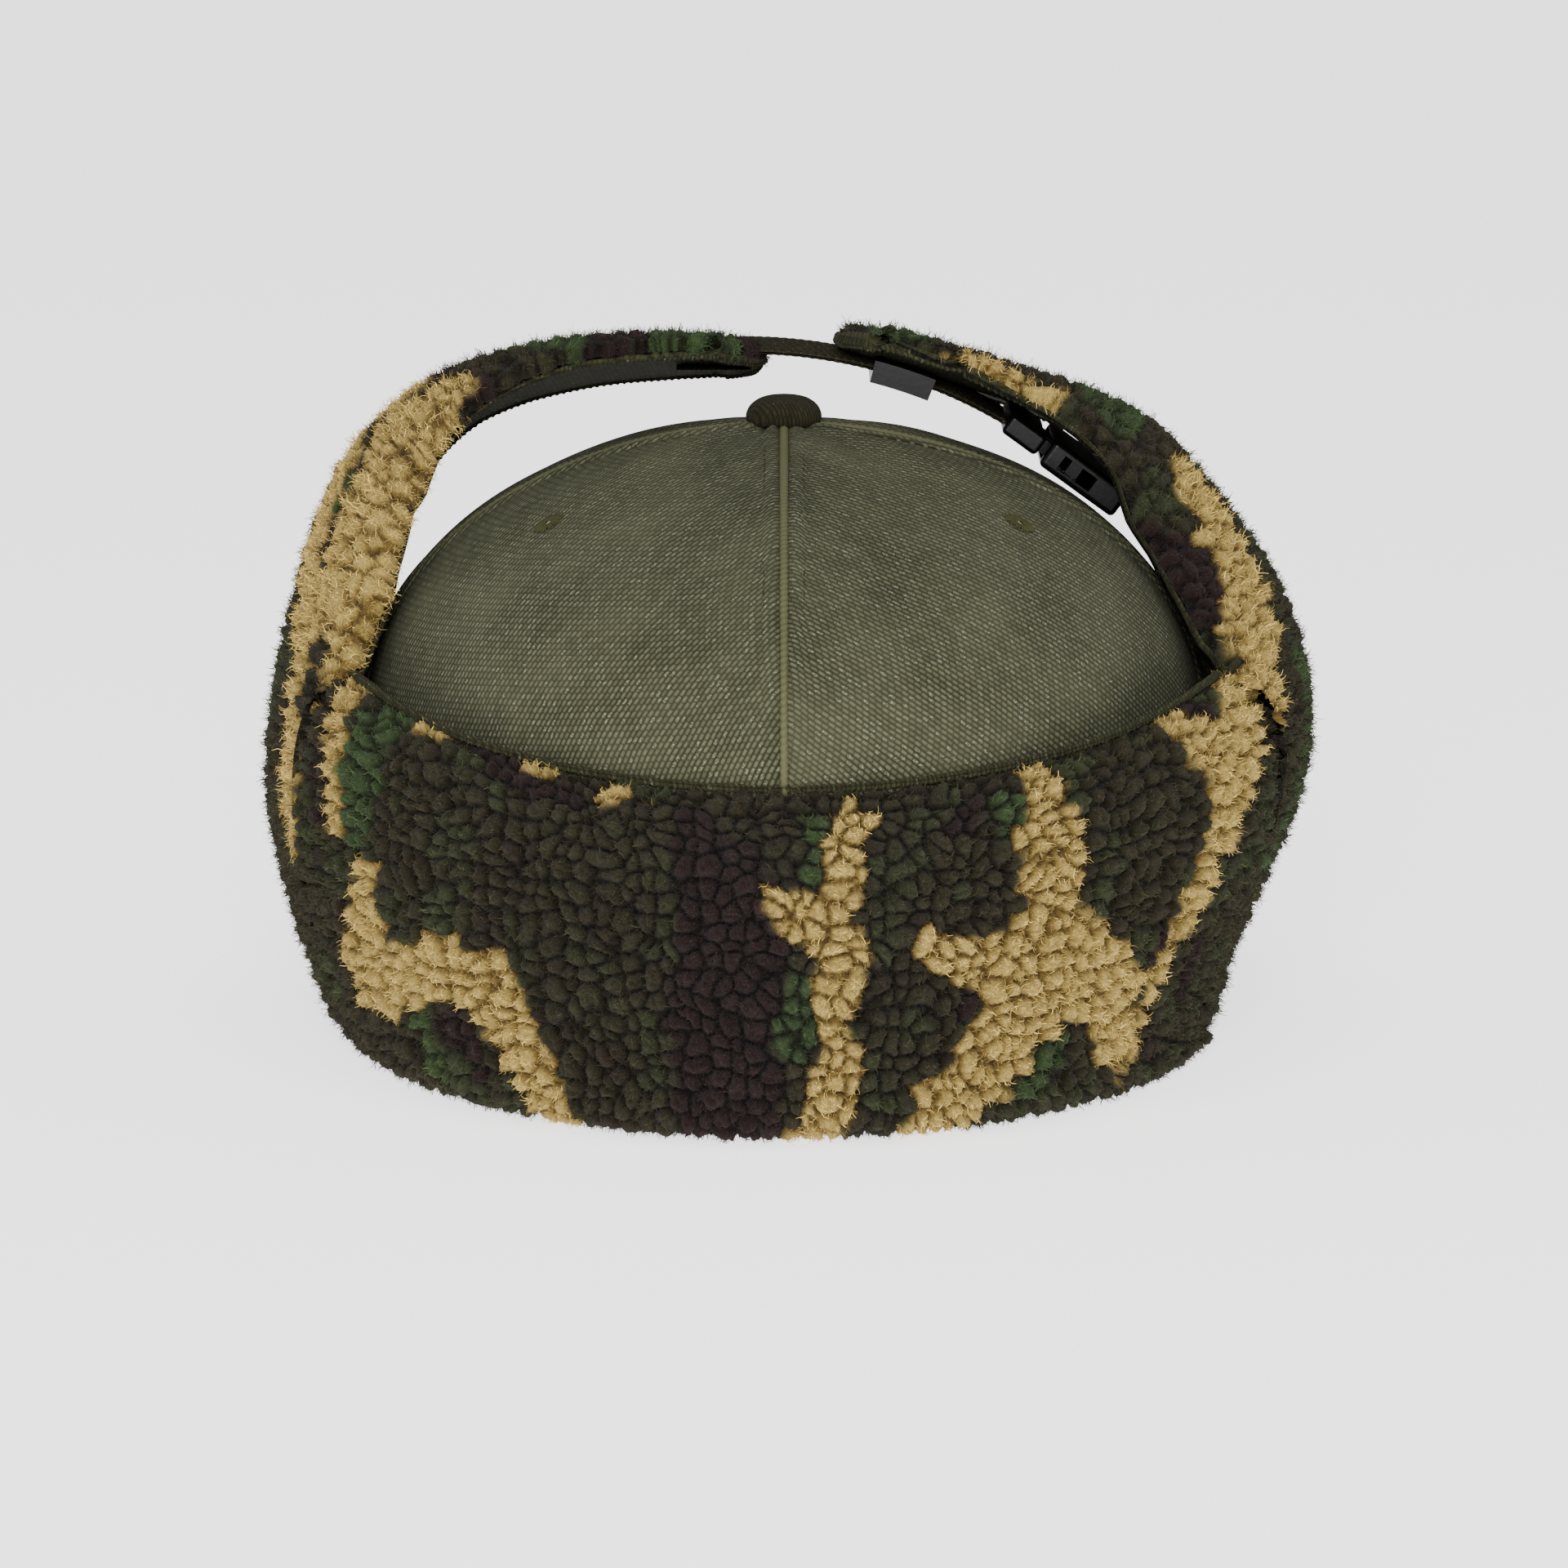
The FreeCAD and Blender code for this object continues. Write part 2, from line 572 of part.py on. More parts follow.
def make_female():
    outer = box(0.3, FEMALE_LENGTH, -FEMALE_HALF_WIDTH, FEMALE_HALF_WIDTH,
                -FEMALE_HALF_THICK, FEMALE_HALF_THICK)
    outer = outer.makeFillet(FEMALE_ROUND, outer.Edges)
    cavity = box(-1.0, CAVITY_DEPTH, -CAVITY_HALF_WIDTH, CAVITY_HALF_WIDTH,
                 -CAVITY_HALF_THICK, CAVITY_HALF_THICK)
    window_half_thick = CAVITY_HALF_THICK - 0.5
    windows = box(*FEMALE_WINDOW, -BIG, BIG, -window_half_thick, window_half_thick)
    slot_end = FEMALE_LENGTH - BUCKLE_BAR
    strap_slot = box(slot_end - BUCKLE_SLOT, slot_end, -BUCKLE_SLOT_HALF_WIDTH, BUCKLE_SLOT_HALF_WIDTH, -BIG, BIG)
    body = outer.cut(cavity).cut(windows).cut(strap_slot)
    save("buckle_female", place_buckle(body))


def make_male():
    """Insert of the side-release buckle: base with the strap's slot, guide tongue, two prongs."""
    base_end = -BASE_GAP - MALE_BASE_LENGTH
    base = box(base_end, -BASE_GAP, -MALE_BASE_HALF_WIDTH, MALE_BASE_HALF_WIDTH,
               -MALE_BASE_HALF_THICK, MALE_BASE_HALF_THICK)
    base = base.makeFillet(1.0, base.Edges)
    slot_start = base_end + BUCKLE_BAR
    slot = box(slot_start, slot_start + BUCKLE_SLOT, -BUCKLE_SLOT_HALF_WIDTH, BUCKLE_SLOT_HALF_WIDTH, -BIG, BIG)
    tongue = box(-BASE_GAP - 1.0, GUIDE_LENGTH, -2.2, 2.2, -MALE_HALF_THICK, MALE_HALF_THICK)
    pockets = []
    for side in (1, -1):
        y0, y1 = sorted((side * (PRONG_INNER - 0.9), side * (PRONG_OUTER + 0.9)))
        pockets.append(box(-BASE_GAP - 2.8, 0.0, y0, y1, -MALE_HALF_THICK - 0.4, MALE_HALF_THICK + 0.4))
    body = base.fuse(tongue).cut(slot)
    for pocket in pockets:
        body = body.cut(pocket)
    save("buckle_male", place_buckle(body))
    save("buckle_prong_rear", place_buckle(prong(-1)))
    save("buckle_prong_front", place_buckle(prong(1)))


def prong(side):
    """Springy side arm with a rounded catch; side is the sign of Y in the buckle's own frame."""
    catch = PRONG_OUTER + PRONG_LOBE
    outline = [
        (-BASE_GAP - 2.4, PRONG_INNER), (-BASE_GAP - 2.4, PRONG_OUTER), (4.6, PRONG_OUTER),
        (6.2, catch), (9.0, catch), (PRONG_LENGTH, PRONG_OUTER - 0.8), (PRONG_LENGTH, PRONG_INNER),
    ]
    face = polygon_face([point(x, side * y, -MALE_HALF_THICK) for x, y in outline])
    arm = face.extrude(point(0, 0, 2 * MALE_HALF_THICK))
    return arm


def make_short_strap():
    """Webbing from the female half, turned back on itself and sewn inside the right shoulder."""
    angle = math.radians(MOUTH_DEG)
    run = point(-math.cos(angle), 0, -math.sin(angle))
    mouth = point(STRAP_CENTRE_X - STRAP_RADIUS * math.sin(angle), 0,
                  STRAP_CENTRE_Z + STRAP_RADIUS * math.cos(angle))
    start = mouth + run * (FEMALE_LENGTH + 0.05)
    bend = start + run * LOOP_START
    centre = bend + point(run.z, 0, -run.x) * LOOP_RADIUS
    tab = math.radians(TAB_DIRECTION_DEG)
    tab_run = point(math.cos(tab), 0, math.sin(tab))
    back = centre - point(tab_run.z, 0, -tab_run.x) * LOOP_RADIUS
    middle = centre + (bend + back - centre * 2).normalize() * LOOP_RADIUS
    end = back + tab_run * TAB_LENGTH
    path = Part.Wire([
        Part.makeLine(start, bend),
        Part.Arc(bend, middle, back).toShape(),
        Part.makeLine(back, end),
    ])
    across = point(run.z, 0, -run.x)
    section = polygon_face([
        start + across * (STRAP_THICK / 2) + point(0, STRAP_Y - STRAP_WIDTH / 2, 0),
        start - across * (STRAP_THICK / 2) + point(0, STRAP_Y - STRAP_WIDTH / 2, 0),
        start - across * (STRAP_THICK / 2) + point(0, STRAP_Y + STRAP_WIDTH / 2, 0),
        start + across * (STRAP_THICK / 2) + point(0, STRAP_Y + STRAP_WIDTH / 2, 0),
    ])
    save("chin_strap_short", path.makePipeShell([section.OuterWire], True, True))

    out = point(-tab_run.z, 0, tab_run.x)
    corner = back + out * (STRAP_THICK / 2)
    patch = polygon_face([
        corner + point(0, STRAP_Y - STRAP_WIDTH / 2, 0),
        corner + tab_run * TAB_LENGTH + point(0, STRAP_Y - STRAP_WIDTH / 2, 0),
        corner + tab_run * TAB_LENGTH + point(0, STRAP_Y + STRAP_WIDTH / 2, 0),
        corner + point(0, STRAP_Y + STRAP_WIDTH / 2, 0),
    ]).extrude(out * PATCH)
    save("strap_patch_right", patch)


def make_left_patch():
    """Sewn reinforcement on the underside of the left tip, where the long strap goes in."""
    start = TIP_OUTER_LEFT[-1][0] + 3.0
    under_z = TIP_OUTER_LEFT[-1][1] - TIP_THICK_LEFT
    patch = box(start, start + 16.0, STRAP_Y - STRAP_WIDTH / 2, STRAP_Y + STRAP_WIDTH / 2,
                under_z - 1.0 - PATCH, under_z - 0.5)
    save("strap_patch_left", patch)


make_crown()
make_eyelets()
make_button()
make_visor()
make_rim_roll()
make_ear_flaps()
make_neck_flap()
make_strap()
make_slider()
make_female()
make_male()
make_short_strap()
make_left_patch()

os.makedirs("parts", exist_ok=True)
for name, shape in nodes.items():
    box_of = shape.BoundBox
    print(name, len(shape.Solids), shape.isValid(), round(shape.Volume, 1),
          "x %.1f %.1f y %.1f %.1f z %.1f %.1f" % (
              box_of.XMin, box_of.XMax, box_of.YMin, box_of.YMax, box_of.ZMin, box_of.ZMax))
    shape.exportStep("parts/" + name + ".step")
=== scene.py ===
import json
import math

import bpy
import numpy as np
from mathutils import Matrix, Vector

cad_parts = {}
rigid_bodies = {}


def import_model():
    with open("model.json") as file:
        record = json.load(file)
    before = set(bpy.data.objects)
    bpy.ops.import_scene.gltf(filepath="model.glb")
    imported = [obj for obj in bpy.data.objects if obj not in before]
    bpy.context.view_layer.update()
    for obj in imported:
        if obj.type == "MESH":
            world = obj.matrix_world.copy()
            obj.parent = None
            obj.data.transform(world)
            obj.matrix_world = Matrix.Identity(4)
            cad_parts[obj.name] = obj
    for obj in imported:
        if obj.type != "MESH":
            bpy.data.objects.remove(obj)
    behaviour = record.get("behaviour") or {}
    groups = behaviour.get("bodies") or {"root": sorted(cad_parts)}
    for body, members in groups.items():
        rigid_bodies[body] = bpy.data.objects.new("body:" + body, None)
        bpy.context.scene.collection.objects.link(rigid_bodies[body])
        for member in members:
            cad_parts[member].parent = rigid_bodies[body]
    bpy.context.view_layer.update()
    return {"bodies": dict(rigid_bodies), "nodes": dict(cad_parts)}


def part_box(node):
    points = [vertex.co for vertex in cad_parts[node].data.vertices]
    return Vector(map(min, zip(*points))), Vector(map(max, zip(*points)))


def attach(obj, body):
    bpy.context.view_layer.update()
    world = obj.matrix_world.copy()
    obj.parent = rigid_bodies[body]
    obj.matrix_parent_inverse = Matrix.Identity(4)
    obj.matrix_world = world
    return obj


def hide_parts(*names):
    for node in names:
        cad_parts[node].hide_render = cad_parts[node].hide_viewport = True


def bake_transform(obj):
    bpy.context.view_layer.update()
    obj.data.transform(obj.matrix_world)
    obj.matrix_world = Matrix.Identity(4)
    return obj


# Trapper hat, seen from behind. Lengths below are millimetres in the row frame; meshes are scaled to
# metres when they are made. +Y is the back of the head, +X the wearer's left.
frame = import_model()

MM = 0.001
FINE = 1.0
rng = np.random.default_rng(11)


# --- noise -----------------------------------------------------------------------------------------
def hashed(i, j, seed):
    """Even random number in 0..1 for each whole pair i, j."""
    n = (i.astype(np.int64) * 73856093) ^ (j.astype(np.int64) * 19349663) ^ (seed * 83492791)
    n = (n ^ (n >> 13)) * 1274126177
    n = (n ^ (n >> 16)) & 0xFFFFFF
    return n / float(0xFFFFFF)


def noise(x, y, seed):
    """Smooth noise in -1..1 with features one unit wide."""
    i, j = np.floor(x), np.floor(y)
    u, v = x - i, y - j
    u, v = u * u * (3 - 2 * u), v * v * (3 - 2 * v)
    low = hashed(i, j, seed) * (1 - u) + hashed(i + 1, j, seed) * u
    high = hashed(i, j + 1, seed) * (1 - u) + hashed(i + 1, j + 1, seed) * u
    return 2 * (low * (1 - v) + high * v) - 1


def ramp(low, high, x):
    t = np.clip((x - low) / (high - low), 0, 1)
    return t * t * (3 - 2 * t)


def tufts(s, h, cell, seed):
    """Curly tufts of pile: height in 0..1, and the cloth coordinates of each point's tuft."""
    s1 = s + 0.45 * cell * noise(s / cell / 1.6, h / cell / 1.6, seed + 1)
    h1 = h + 0.45 * cell * noise(s / cell / 1.6, h / cell / 1.6, seed + 2)
    gx, gy = s1 / cell, h1 / cell
    first = np.full(s.shape, 9.0)
    second = np.full(s.shape, 9.0)
    at_s, at_h, own = np.zeros(s.shape), np.zeros(s.shape), np.zeros(s.shape)
    for di in (-1, 0, 1):
        for dj in (-1, 0, 1):
            ci, cj = np.floor(gx) + di, np.floor(gy) + dj
            px = ci + 0.12 + 0.76 * hashed(ci, cj, seed + 3)
            py = cj + 0.12 + 0.76 * hashed(ci, cj, seed + 4)
            turn = math.pi * hashed(ci, cj, seed + 5)
            long = 1.0 + 0.55 * hashed(ci, cj, seed + 6)
            big = 0.8 + 0.4 * hashed(ci, cj, seed + 7)
            dx, dy = gx - px, gy - py
            a = dx * np.cos(turn) + dy * np.sin(turn)
            b = dy * np.cos(turn) - dx * np.sin(turn)
            d = np.sqrt(a * a / long + b * b * long) / big
            closer = d < first
            second = np.where(closer, first, np.minimum(second, d))
            first = np.where(closer, d, first)
            at_s = np.where(closer, px * cell, at_s)
            at_h = np.where(closer, py * cell, at_h)
            own = np.where(closer, hashed(ci, cj, seed + 8), own)
    dome = np.clip(1 - 0.95 * first * first, 0, 1)
    gap = ramp(0.0, 0.42, second - first)
    return dome * (0.25 + 0.75 * gap) * (0.75 + 0.25 * own), at_s, at_h


# --- meshes ----------------------------------------------------------------------------------------
def make_mesh(name, points, quads, materials, **attributes):
    """Object from an (n, 3) array in millimetres and an (m, 4) array of quads."""
    mesh = bpy.data.meshes.new(name)
    mesh.vertices.add(len(points))
    mesh.vertices.foreach_set("co", (points * MM).astype(np.float32).ravel())
    mesh.loops.add(quads.size)
    mesh.loops.foreach_set("vertex_index", quads.astype(np.int32).ravel())
    mesh.polygons.add(len(quads))
    mesh.polygons.foreach_set("loop_start", np.arange(len(quads), dtype=np.int32) * 4)
    mesh.polygons.foreach_set("use_smooth", np.ones(len(quads), bool))
    for key, values in attributes.items():
        kind, slot = {1: ("FLOAT", "value"), 3: ("FLOAT_VECTOR", "vector"), 4: ("FLOAT_COLOR", "color")}[
            1 if values.ndim == 1 else values.shape[1]]
        layer = mesh.attributes.new(key, kind, "POINT")
        layer.data.foreach_set(slot, values.astype(np.float32).ravel())
    mesh.update(calc_edges=True)
    mesh.validate()
    obj = bpy.data.objects.new(name, mesh)
    bpy.context.scene.collection.objects.link(obj)
    for material in materials:
        mesh.materials.append(material)
    return obj


def belongs(obj, body, slot, *nodes):
    """Ride on a body and stand for any CAD nodes; slot is not used."""
    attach(obj, body)
    if nodes:
        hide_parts(*nodes)


def grid_mesh(name, points, flip, material, cloth):
    """Object from a grid of points, with the cloth coordinates of each."""
    return make_mesh(name, points.reshape(-1, 3), grid_quads(*points.shape[:2], flip), [material],
                     cloth=cloth.reshape(-1, 3))


def cloth_at(s, h):
    """Cloth coordinates as vectors."""
    s, h = np.broadcast_arrays(s, h)
    return np.stack([s, h, 0 * s], -1)


def grid_quads(rows, columns, flip=False):
    index = np.arange(rows * columns).reshape(rows, columns)
    quads = np.stack([index[:-1, :-1], index[:-1, 1:], index[1:, 1:], index[1:, :-1]], -1).reshape(-1, 4)
    return quads[:, ::-1] if flip else quads


def grid_normals(points, outward):
    """Unit normals of a grid of points, turned to the side that most of outward points to."""
    along = np.gradient(points, axis=0)
    across = np.gradient(points, axis=1)
    normal = np.cross(along, across)
    size = np.linalg.norm(normal, axis=-1, keepdims=True)
    normal = normal / np.maximum(size, 1e-9)
    for k in range(1, len(normal)):
        flat = size[k, :, 0] < 1e-6
        normal[k, flat] = normal[k - 1, flat]
    turned = np.sum(normal * outward) < 0
    return (-normal if turned else normal), turned


def join_parts(parts):
    """Several (points, quads) as one."""
    points, quads, start = [], [], 0
    for p, q in parts:
        points.append(p)
        quads.append(q + start)
        start += len(p)
    return np.vstack(points), np.vstack(quads)


def smooth_path(points, at):
    """Catmull-Rom curve through points, at parameters 0..len-1."""
    p = np.array(points, float)
    p = np.vstack([2 * p[0] - p[1], p, 2 * p[-1] - p[-2]])
    k = np.clip(np.floor(at).astype(int), 0, len(points) - 2)
    u = (at - k)[..., None]
    a, b, c, d = p[k], p[k + 1], p[k + 2], p[k + 3]
    bend, twist = 2 * a - 5 * b + 4 * c - d, 3 * b - a - 3 * c + d
    return 0.5 * (2 * b + (c - a) * u + bend * u ** 2 + twist * u ** 3)


def lengths(points):
    """Length along a line of points, at each point."""
    return np.concatenate([[0], np.cumsum(np.linalg.norm(np.diff(points, axis=0), axis=1))])


def point_at(length, run, points):
    """Point at a length along a line of points; run is the length at each of them."""
    return np.stack([np.interp(length, run, points[:, k]) for k in range(points.shape[1])], -1)


class Path:
    """Curve through points, by length from its start."""

    def __init__(self, points):
        at = np.linspace(0, len(points) - 1, 40 * len(points))
        self.points = smooth_path(points, at)
        self.run = lengths(self.points)
        self.length = self.run[-1]

    def __call__(self, length):
        return point_at(length, self.run, self.points)


# a stitch's thickness along it, as (share of its length, share of its radius)
STITCH_SHAPE = [(0.0, 0.25), (0.12, 0.8), (0.5, 1.0), (0.88, 0.8), (1.0, 0.25)]


def stitches(path, normals, length, gap, radius, lift=0.0):
    """Row of sewn stitches, small rounded bars along a path."""
    run = lengths(path)
    turn = np.arange(6)[:, None] * math.pi / 3
    quads = [(6 * r + k, 6 * r + (k + 1) % 6, 6 * r + 6 + (k + 1) % 6, 6 * r + 6 + k)
             for r in range(len(STITCH_SHAPE) - 1) for k in range(6)]
    parts = []
    for start in np.arange(gap, run[-1] - length, length + gap):
        rings = []
        for share, wide in STITCH_SHAPE:
            at = start + share * length
            centre = point_at(at, run, path)
            normal = point_at(at, run, normals)
            side = np.cross(normal, point_at(at + 0.2, run, path) - centre)
            side /= max(np.linalg.norm(side), 1e-9)
            middle = centre + normal * (lift + radius * (0.5 - 0.9 * abs(share - 0.5)))
            rings.append(middle + radius * wide * (np.cos(turn) * side + np.sin(turn) * normal))
        parts.append((np.array(rings).reshape(-1, 3), np.array(quads)))
    return join_parts(parts)


def tube(path, radius, ridge=0.0, pitch=1.6, sides=10, spacing=0.35):
    """Tube along a path, with a thread wound round it as a raised helix."""
    run = lengths(path)
    at = np.arange(0, run[-1], spacing * FINE)
    centre = point_at(at, run, path)
    ahead = np.gradient(centre, axis=0)
    ahead /= np.linalg.norm(ahead, axis=1, keepdims=True)
    side = np.cross(ahead, np.array([0.13, 0.21, 1.0]))     # any direction that no path here runs in
    side /= np.linalg.norm(side, axis=1, keepdims=True)
    other = np.cross(ahead, side)
    turn = np.linspace(0, 2 * math.pi, sides + 1)
    wave = np.cos(turn[None, :] - 2 * math.pi * at[:, None] / pitch)
    size = radius + ridge * np.maximum(wave, 0)
    points = centre[:, None] + size[..., None] * (
        np.cos(turn)[None, :, None] * side[:, None] + np.sin(turn)[None, :, None] * other[:, None])
    return points.reshape(-1, 3), grid_quads(len(at), sides + 1)


# --- materials -------------------------------------------------------------------------------------
BLACK, WHITE = (0, 0, 0, 1), (1, 1, 1, 1)


def linear(r, g, b):
    """Colour as a shader takes it, from ordinary 0..255 values."""
    return tuple(((v / 255 + 0.055) / 1.055) ** 2.4 if v > 10 else v / 3294.6 for v in (r, g, b)) + (1.0,)


class Shader:
    """A material with a Principled shader, and short ways to add nodes to it."""

    def __init__(self, name, **settings):
        self.material = bpy.data.materials.new(name)
        self.material.use_nodes = True
        self.tree = self.material.node_tree
        self.main = next(n for n in self.tree.nodes if n.type == "BSDF_PRINCIPLED")
        for key, value in settings.items():
            self.main.inputs[key.replace("_", " ")].default_value = value

    def add(self, kind, inputs=None, **props):
        node = self.tree.nodes.new(kind)
        for key, value in props.items():
            setattr(node, key, value)
        for key, value in (inputs or {}).items():
            self.put(node.inputs[key], value)
        return node

    def put(self, socket, value):
        if isinstance(value, bpy.types.NodeSocket):
            self.tree.links.new(value, socket)
        else:
            socket.default_value = value

    def math(self, operation, a, b=0.0):
        return self.add("ShaderNodeMath", {0: a, 1: b}, operation=operation).outputs[0]

    def attribute(self, name, output="Vector"):
        return self.add("ShaderNodeAttribute", attribute_name=name).outputs[output]

    def noise(self, place, scale, detail, distortion=0.0):
        return self.add("ShaderNodeTexNoise", {"Vector": place, "Scale": scale, "Detail": detail,
                                               "Distortion": distortion}).outputs[0]

    def ramp(self, factor, stops):
        node = self.add("ShaderNodeValToRGB", {"Fac": factor})
        while len(node.color_ramp.elements) < len(stops):
            node.color_ramp.elements.new(0.5)
        for element, (at, colour) in zip(node.color_ramp.elements, stops):
            element.position = at
            element.color = colour
        return node.outputs["Color"]

    def mix(self, factor, a, b, blend="MIX"):
        node = self.add("ShaderNodeMix", data_type="RGBA", blend_type=blend)
        self.put(node.inputs["Factor"], factor)
        self.put(node.inputs[6], a)
        self.put(node.inputs[7], b)
        return node.outputs[2]

    def bump(self, height, distance, strength=1.0):
        node = self.add("ShaderNodeBump", {"Height": height, "Distance": distance, "Strength": strength})
        self.tree.links.new(node.outputs["Normal"], self.main.inputs["Normal"])

    def colour(self, value):
        self.tree.links.new(value, self.main.inputs["Base Color"])


def twill(name, dark, light, fleck, lean_deg, rib=1.2, fleck_share=0.12, lint=0.5):
    """Woven twill: slanted ribs of short floats, each float its own shade, a few of them pale; the grooves
    between ribs are painted dark and the rib tops painted light, as painted shade.
    """
    s = Shader(name, Roughness=0.92, Sheen_Weight=0.02, Sheen_Roughness=0.6, Specular_IOR_Level=0.08)
    cloth = s.attribute("cloth")
    lean = math.radians(lean_deg)
    wander = s.noise(cloth, 0.09, 2.0)
    across = s.add("ShaderNodeVectorMath", {0: cloth, 1: (math.cos(lean), math.sin(lean), 0)},
                   operation="DOT_PRODUCT").outputs["Value"]
    across = s.math("ADD", across, s.math("MULTIPLY", wander, 1.2))
    along = s.add("ShaderNodeVectorMath", {0: cloth, 1: (-math.sin(lean), math.cos(lean), 0)},
                  operation="DOT_PRODUCT").outputs["Value"]
    p = s.math("DIVIDE", across, rib)
    row = s.math("FLOOR", p)
    q = s.math("ADD", s.math("DIVIDE", along, rib * 1.35), s.math("MULTIPLY", row, 0.37))
    cell = s.add("ShaderNodeCombineXYZ", {0: row, 1: s.math("FLOOR", q)}).outputs[0]
    shade = s.add("ShaderNodeTexWhiteNoise", {"Vector": cell}, noise_dimensions="2D").outputs["Value"]
    rib_shape = s.math("SINE", s.math("MULTIPLY", s.math("FRACT", p), math.pi))
    float_shape = s.math("SINE", s.math("MULTIPLY", s.math("FRACT", q), math.pi))
    height = s.math("MULTIPLY", rib_shape, s.math("POWER", float_shape, 0.35))
    # painted shade: the colour runs from dark in the grooves between ribs to light on the rib tops
    base = s.mix(height, dark, light)
    patch = s.noise(cloth, 0.05, 4.0)
    base = s.mix(s.math("MULTIPLY", shade, 0.55), base, dark)
    base = s.mix(s.ramp(patch, [(0.35, BLACK), (0.7, (0.3, 0.3, 0.3, 1))]), base, light)
    pale = s.math("MULTIPLY", s.math("GREATER_THAN", shade, 1.0 - fleck_share), s.math("POWER", height, 2.0))
    fine = s.noise(cloth, 2.6, 3.0)
    pale = s.math("MULTIPLY", pale, s.ramp(fine, [(0.45, BLACK), (0.6, WHITE)]))
    base = s.mix(pale, base, fleck)
    hairs = s.ramp(s.noise(cloth, 0.55, 5.0, 2.2), [(0.492, BLACK), (0.5, WHITE), (0.508, BLACK)])
    base = s.mix(s.math("MULTIPLY", hairs, 0.18 * lint), base, fleck)
    s.colour(base)
    s.bump(s.math("ADD", height, s.math("MULTIPLY", fine, 0.5)), 0.00035, 0.9)
    return s.material


def pile_material():
    """Curly pile: its print is stored on the mesh; valleys are darkened as painted shade and tuft tips
    lightened as painted light, and fibres vary.
    """
    s = Shader("camo_pile", Roughness=0.95, Sheen_Weight=0.06, Sheen_Roughness=0.5, Specular_IOR_Level=0.05)
    printed = s.attribute("print", "Color")
    cloth = s.attribute("cloth")
    depth = s.attribute("depth", "Fac")
    fibre = s.noise(cloth, 1.1, 6.0, 3.0)
    wisps = s.noise(cloth, 3.5, 3.0, 1.0)
    tone = s.ramp(fibre, [(0.3, (0.6, 0.57, 0.53, 1)), (0.52, WHITE), (0.75, (1.5, 1.48, 1.42, 1))])
    colour = s.mix(1.0, printed, tone, "MULTIPLY")
    # painted shade: depth darkens the valleys between tufts and lightens their tips
    shade = s.ramp(depth, [(0.0, (0.10, 0.08, 0.06, 1)), (0.3, (0.42, 0.37, 0.30, 1)),
                           (0.62, (0.95, 0.94, 0.92, 1)), (1.0, (1.3, 1.3, 1.3, 1))])
    s.colour(s.mix(1.0, colour, shade, "MULTIPLY"))
    s.bump(s.math("ADD", fibre, s.math("MULTIPLY", wisps, 0.4)), 0.0009, 0.8)
    return s.material


def webbing_material():
    """Webbing: painted shade, dark between its woven cords and paler on them, with worn spots."""
    s = Shader("webbing", Roughness=0.9, Specular_IOR_Level=0.06)
    cloth = s.attribute("cloth")
    height = s.attribute("depth", "Fac")
    grain = s.noise(cloth, 1.6, 4.0)
    # painted shade: dark in the grooves between cords, paler on their tops
    base = s.mix(height, linear(10, 9, 6), linear(48, 45, 33))
    worn = s.ramp(grain, [(0.58, BLACK), (0.75, (0.6, 0.6, 0.6, 1))])
    s.colour(s.mix(worn, base, linear(112, 106, 86)))
    s.bump(grain, 0.0003, 0.6)
    return s.material


def plain(name, colour, **settings):
    """One colour with a fine grain and faint uneven tone, for hard parts and thread."""
    s = Shader(name, **settings)
    place = s.add("ShaderNodeTexCoord").outputs["Object"]
    darker = tuple(c * 0.7 for c in colour[:3]) + (1.0,)
    s.colour(s.mix(s.noise(place, 60.0, 3.0), darker, colour))
    s.bump(s.noise(place, 900.0, 3.0), 0.00008, 0.5)
    return s.material


# each twill's dark and light colours also serve as painted shade in the rib grooves and painted light on the
# rib tops
OLIVE_DARK, OLIVE_LIGHT, OLIVE_FLECK = linear(26, 27, 15), linear(95, 96, 73), linear(132, 134, 110)
LINING_DARK, LINING_LIGHT, LINING_FLECK = linear(30, 31, 18), linear(66, 66, 44), linear(110, 112, 90)
# the two back panels are cut with their ribs at different slants
crown_left = twill("olive_twill_left", OLIVE_DARK, OLIVE_LIGHT, OLIVE_FLECK, 20, rib=1.15, fleck_share=0.2)
crown_right = twill("olive_twill_right", OLIVE_DARK, OLIVE_LIGHT, OLIVE_FLECK, -48, rib=1.15, fleck_share=0.2)
lining_cloth = twill("olive_lining", LINING_DARK, LINING_LIGHT, LINING_FLECK, 25, rib=0.95, fleck_share=0.06)
button_twill = twill("button_cloth", linear(20, 19, 10), linear(48, 45, 27), linear(84, 80, 56), 30, rib=0.8,
                     fleck_share=0.03, lint=0.2)
band_cloth = twill("sweatband_cloth", linear(34, 35, 25), linear(58, 60, 44), linear(90, 92, 74), 60, rib=0.7,
                   fleck_share=0.02, lint=0.1)
buckram_cloth = twill("buckram", linear(150, 148, 138), linear(214, 211, 200), linear(235, 234, 228), 0,
                      rib=1.0)
pile = pile_material()
webbing = webbing_material()
thread = plain("thread", linear(84, 84, 56), Roughness=0.7, Specular_IOR_Level=0.3)
dark_thread = plain("dark_thread", linear(46, 46, 22), Roughness=0.8, Specular_IOR_Level=0.2)
eyelet_thread = plain("eyelet_thread", linear(62, 62, 34), Roughness=0.8, Specular_IOR_Level=0.2)
plastic = plain("buckle_plastic", linear(6, 6, 6), Roughness=0.33, Specular_IOR_Level=0.25)
metal = plain("rivet", linear(180, 180, 178), Roughness=0.35, Metallic=1.0)
board = plain("visor_board", linear(214, 213, 208), Roughness=0.6)


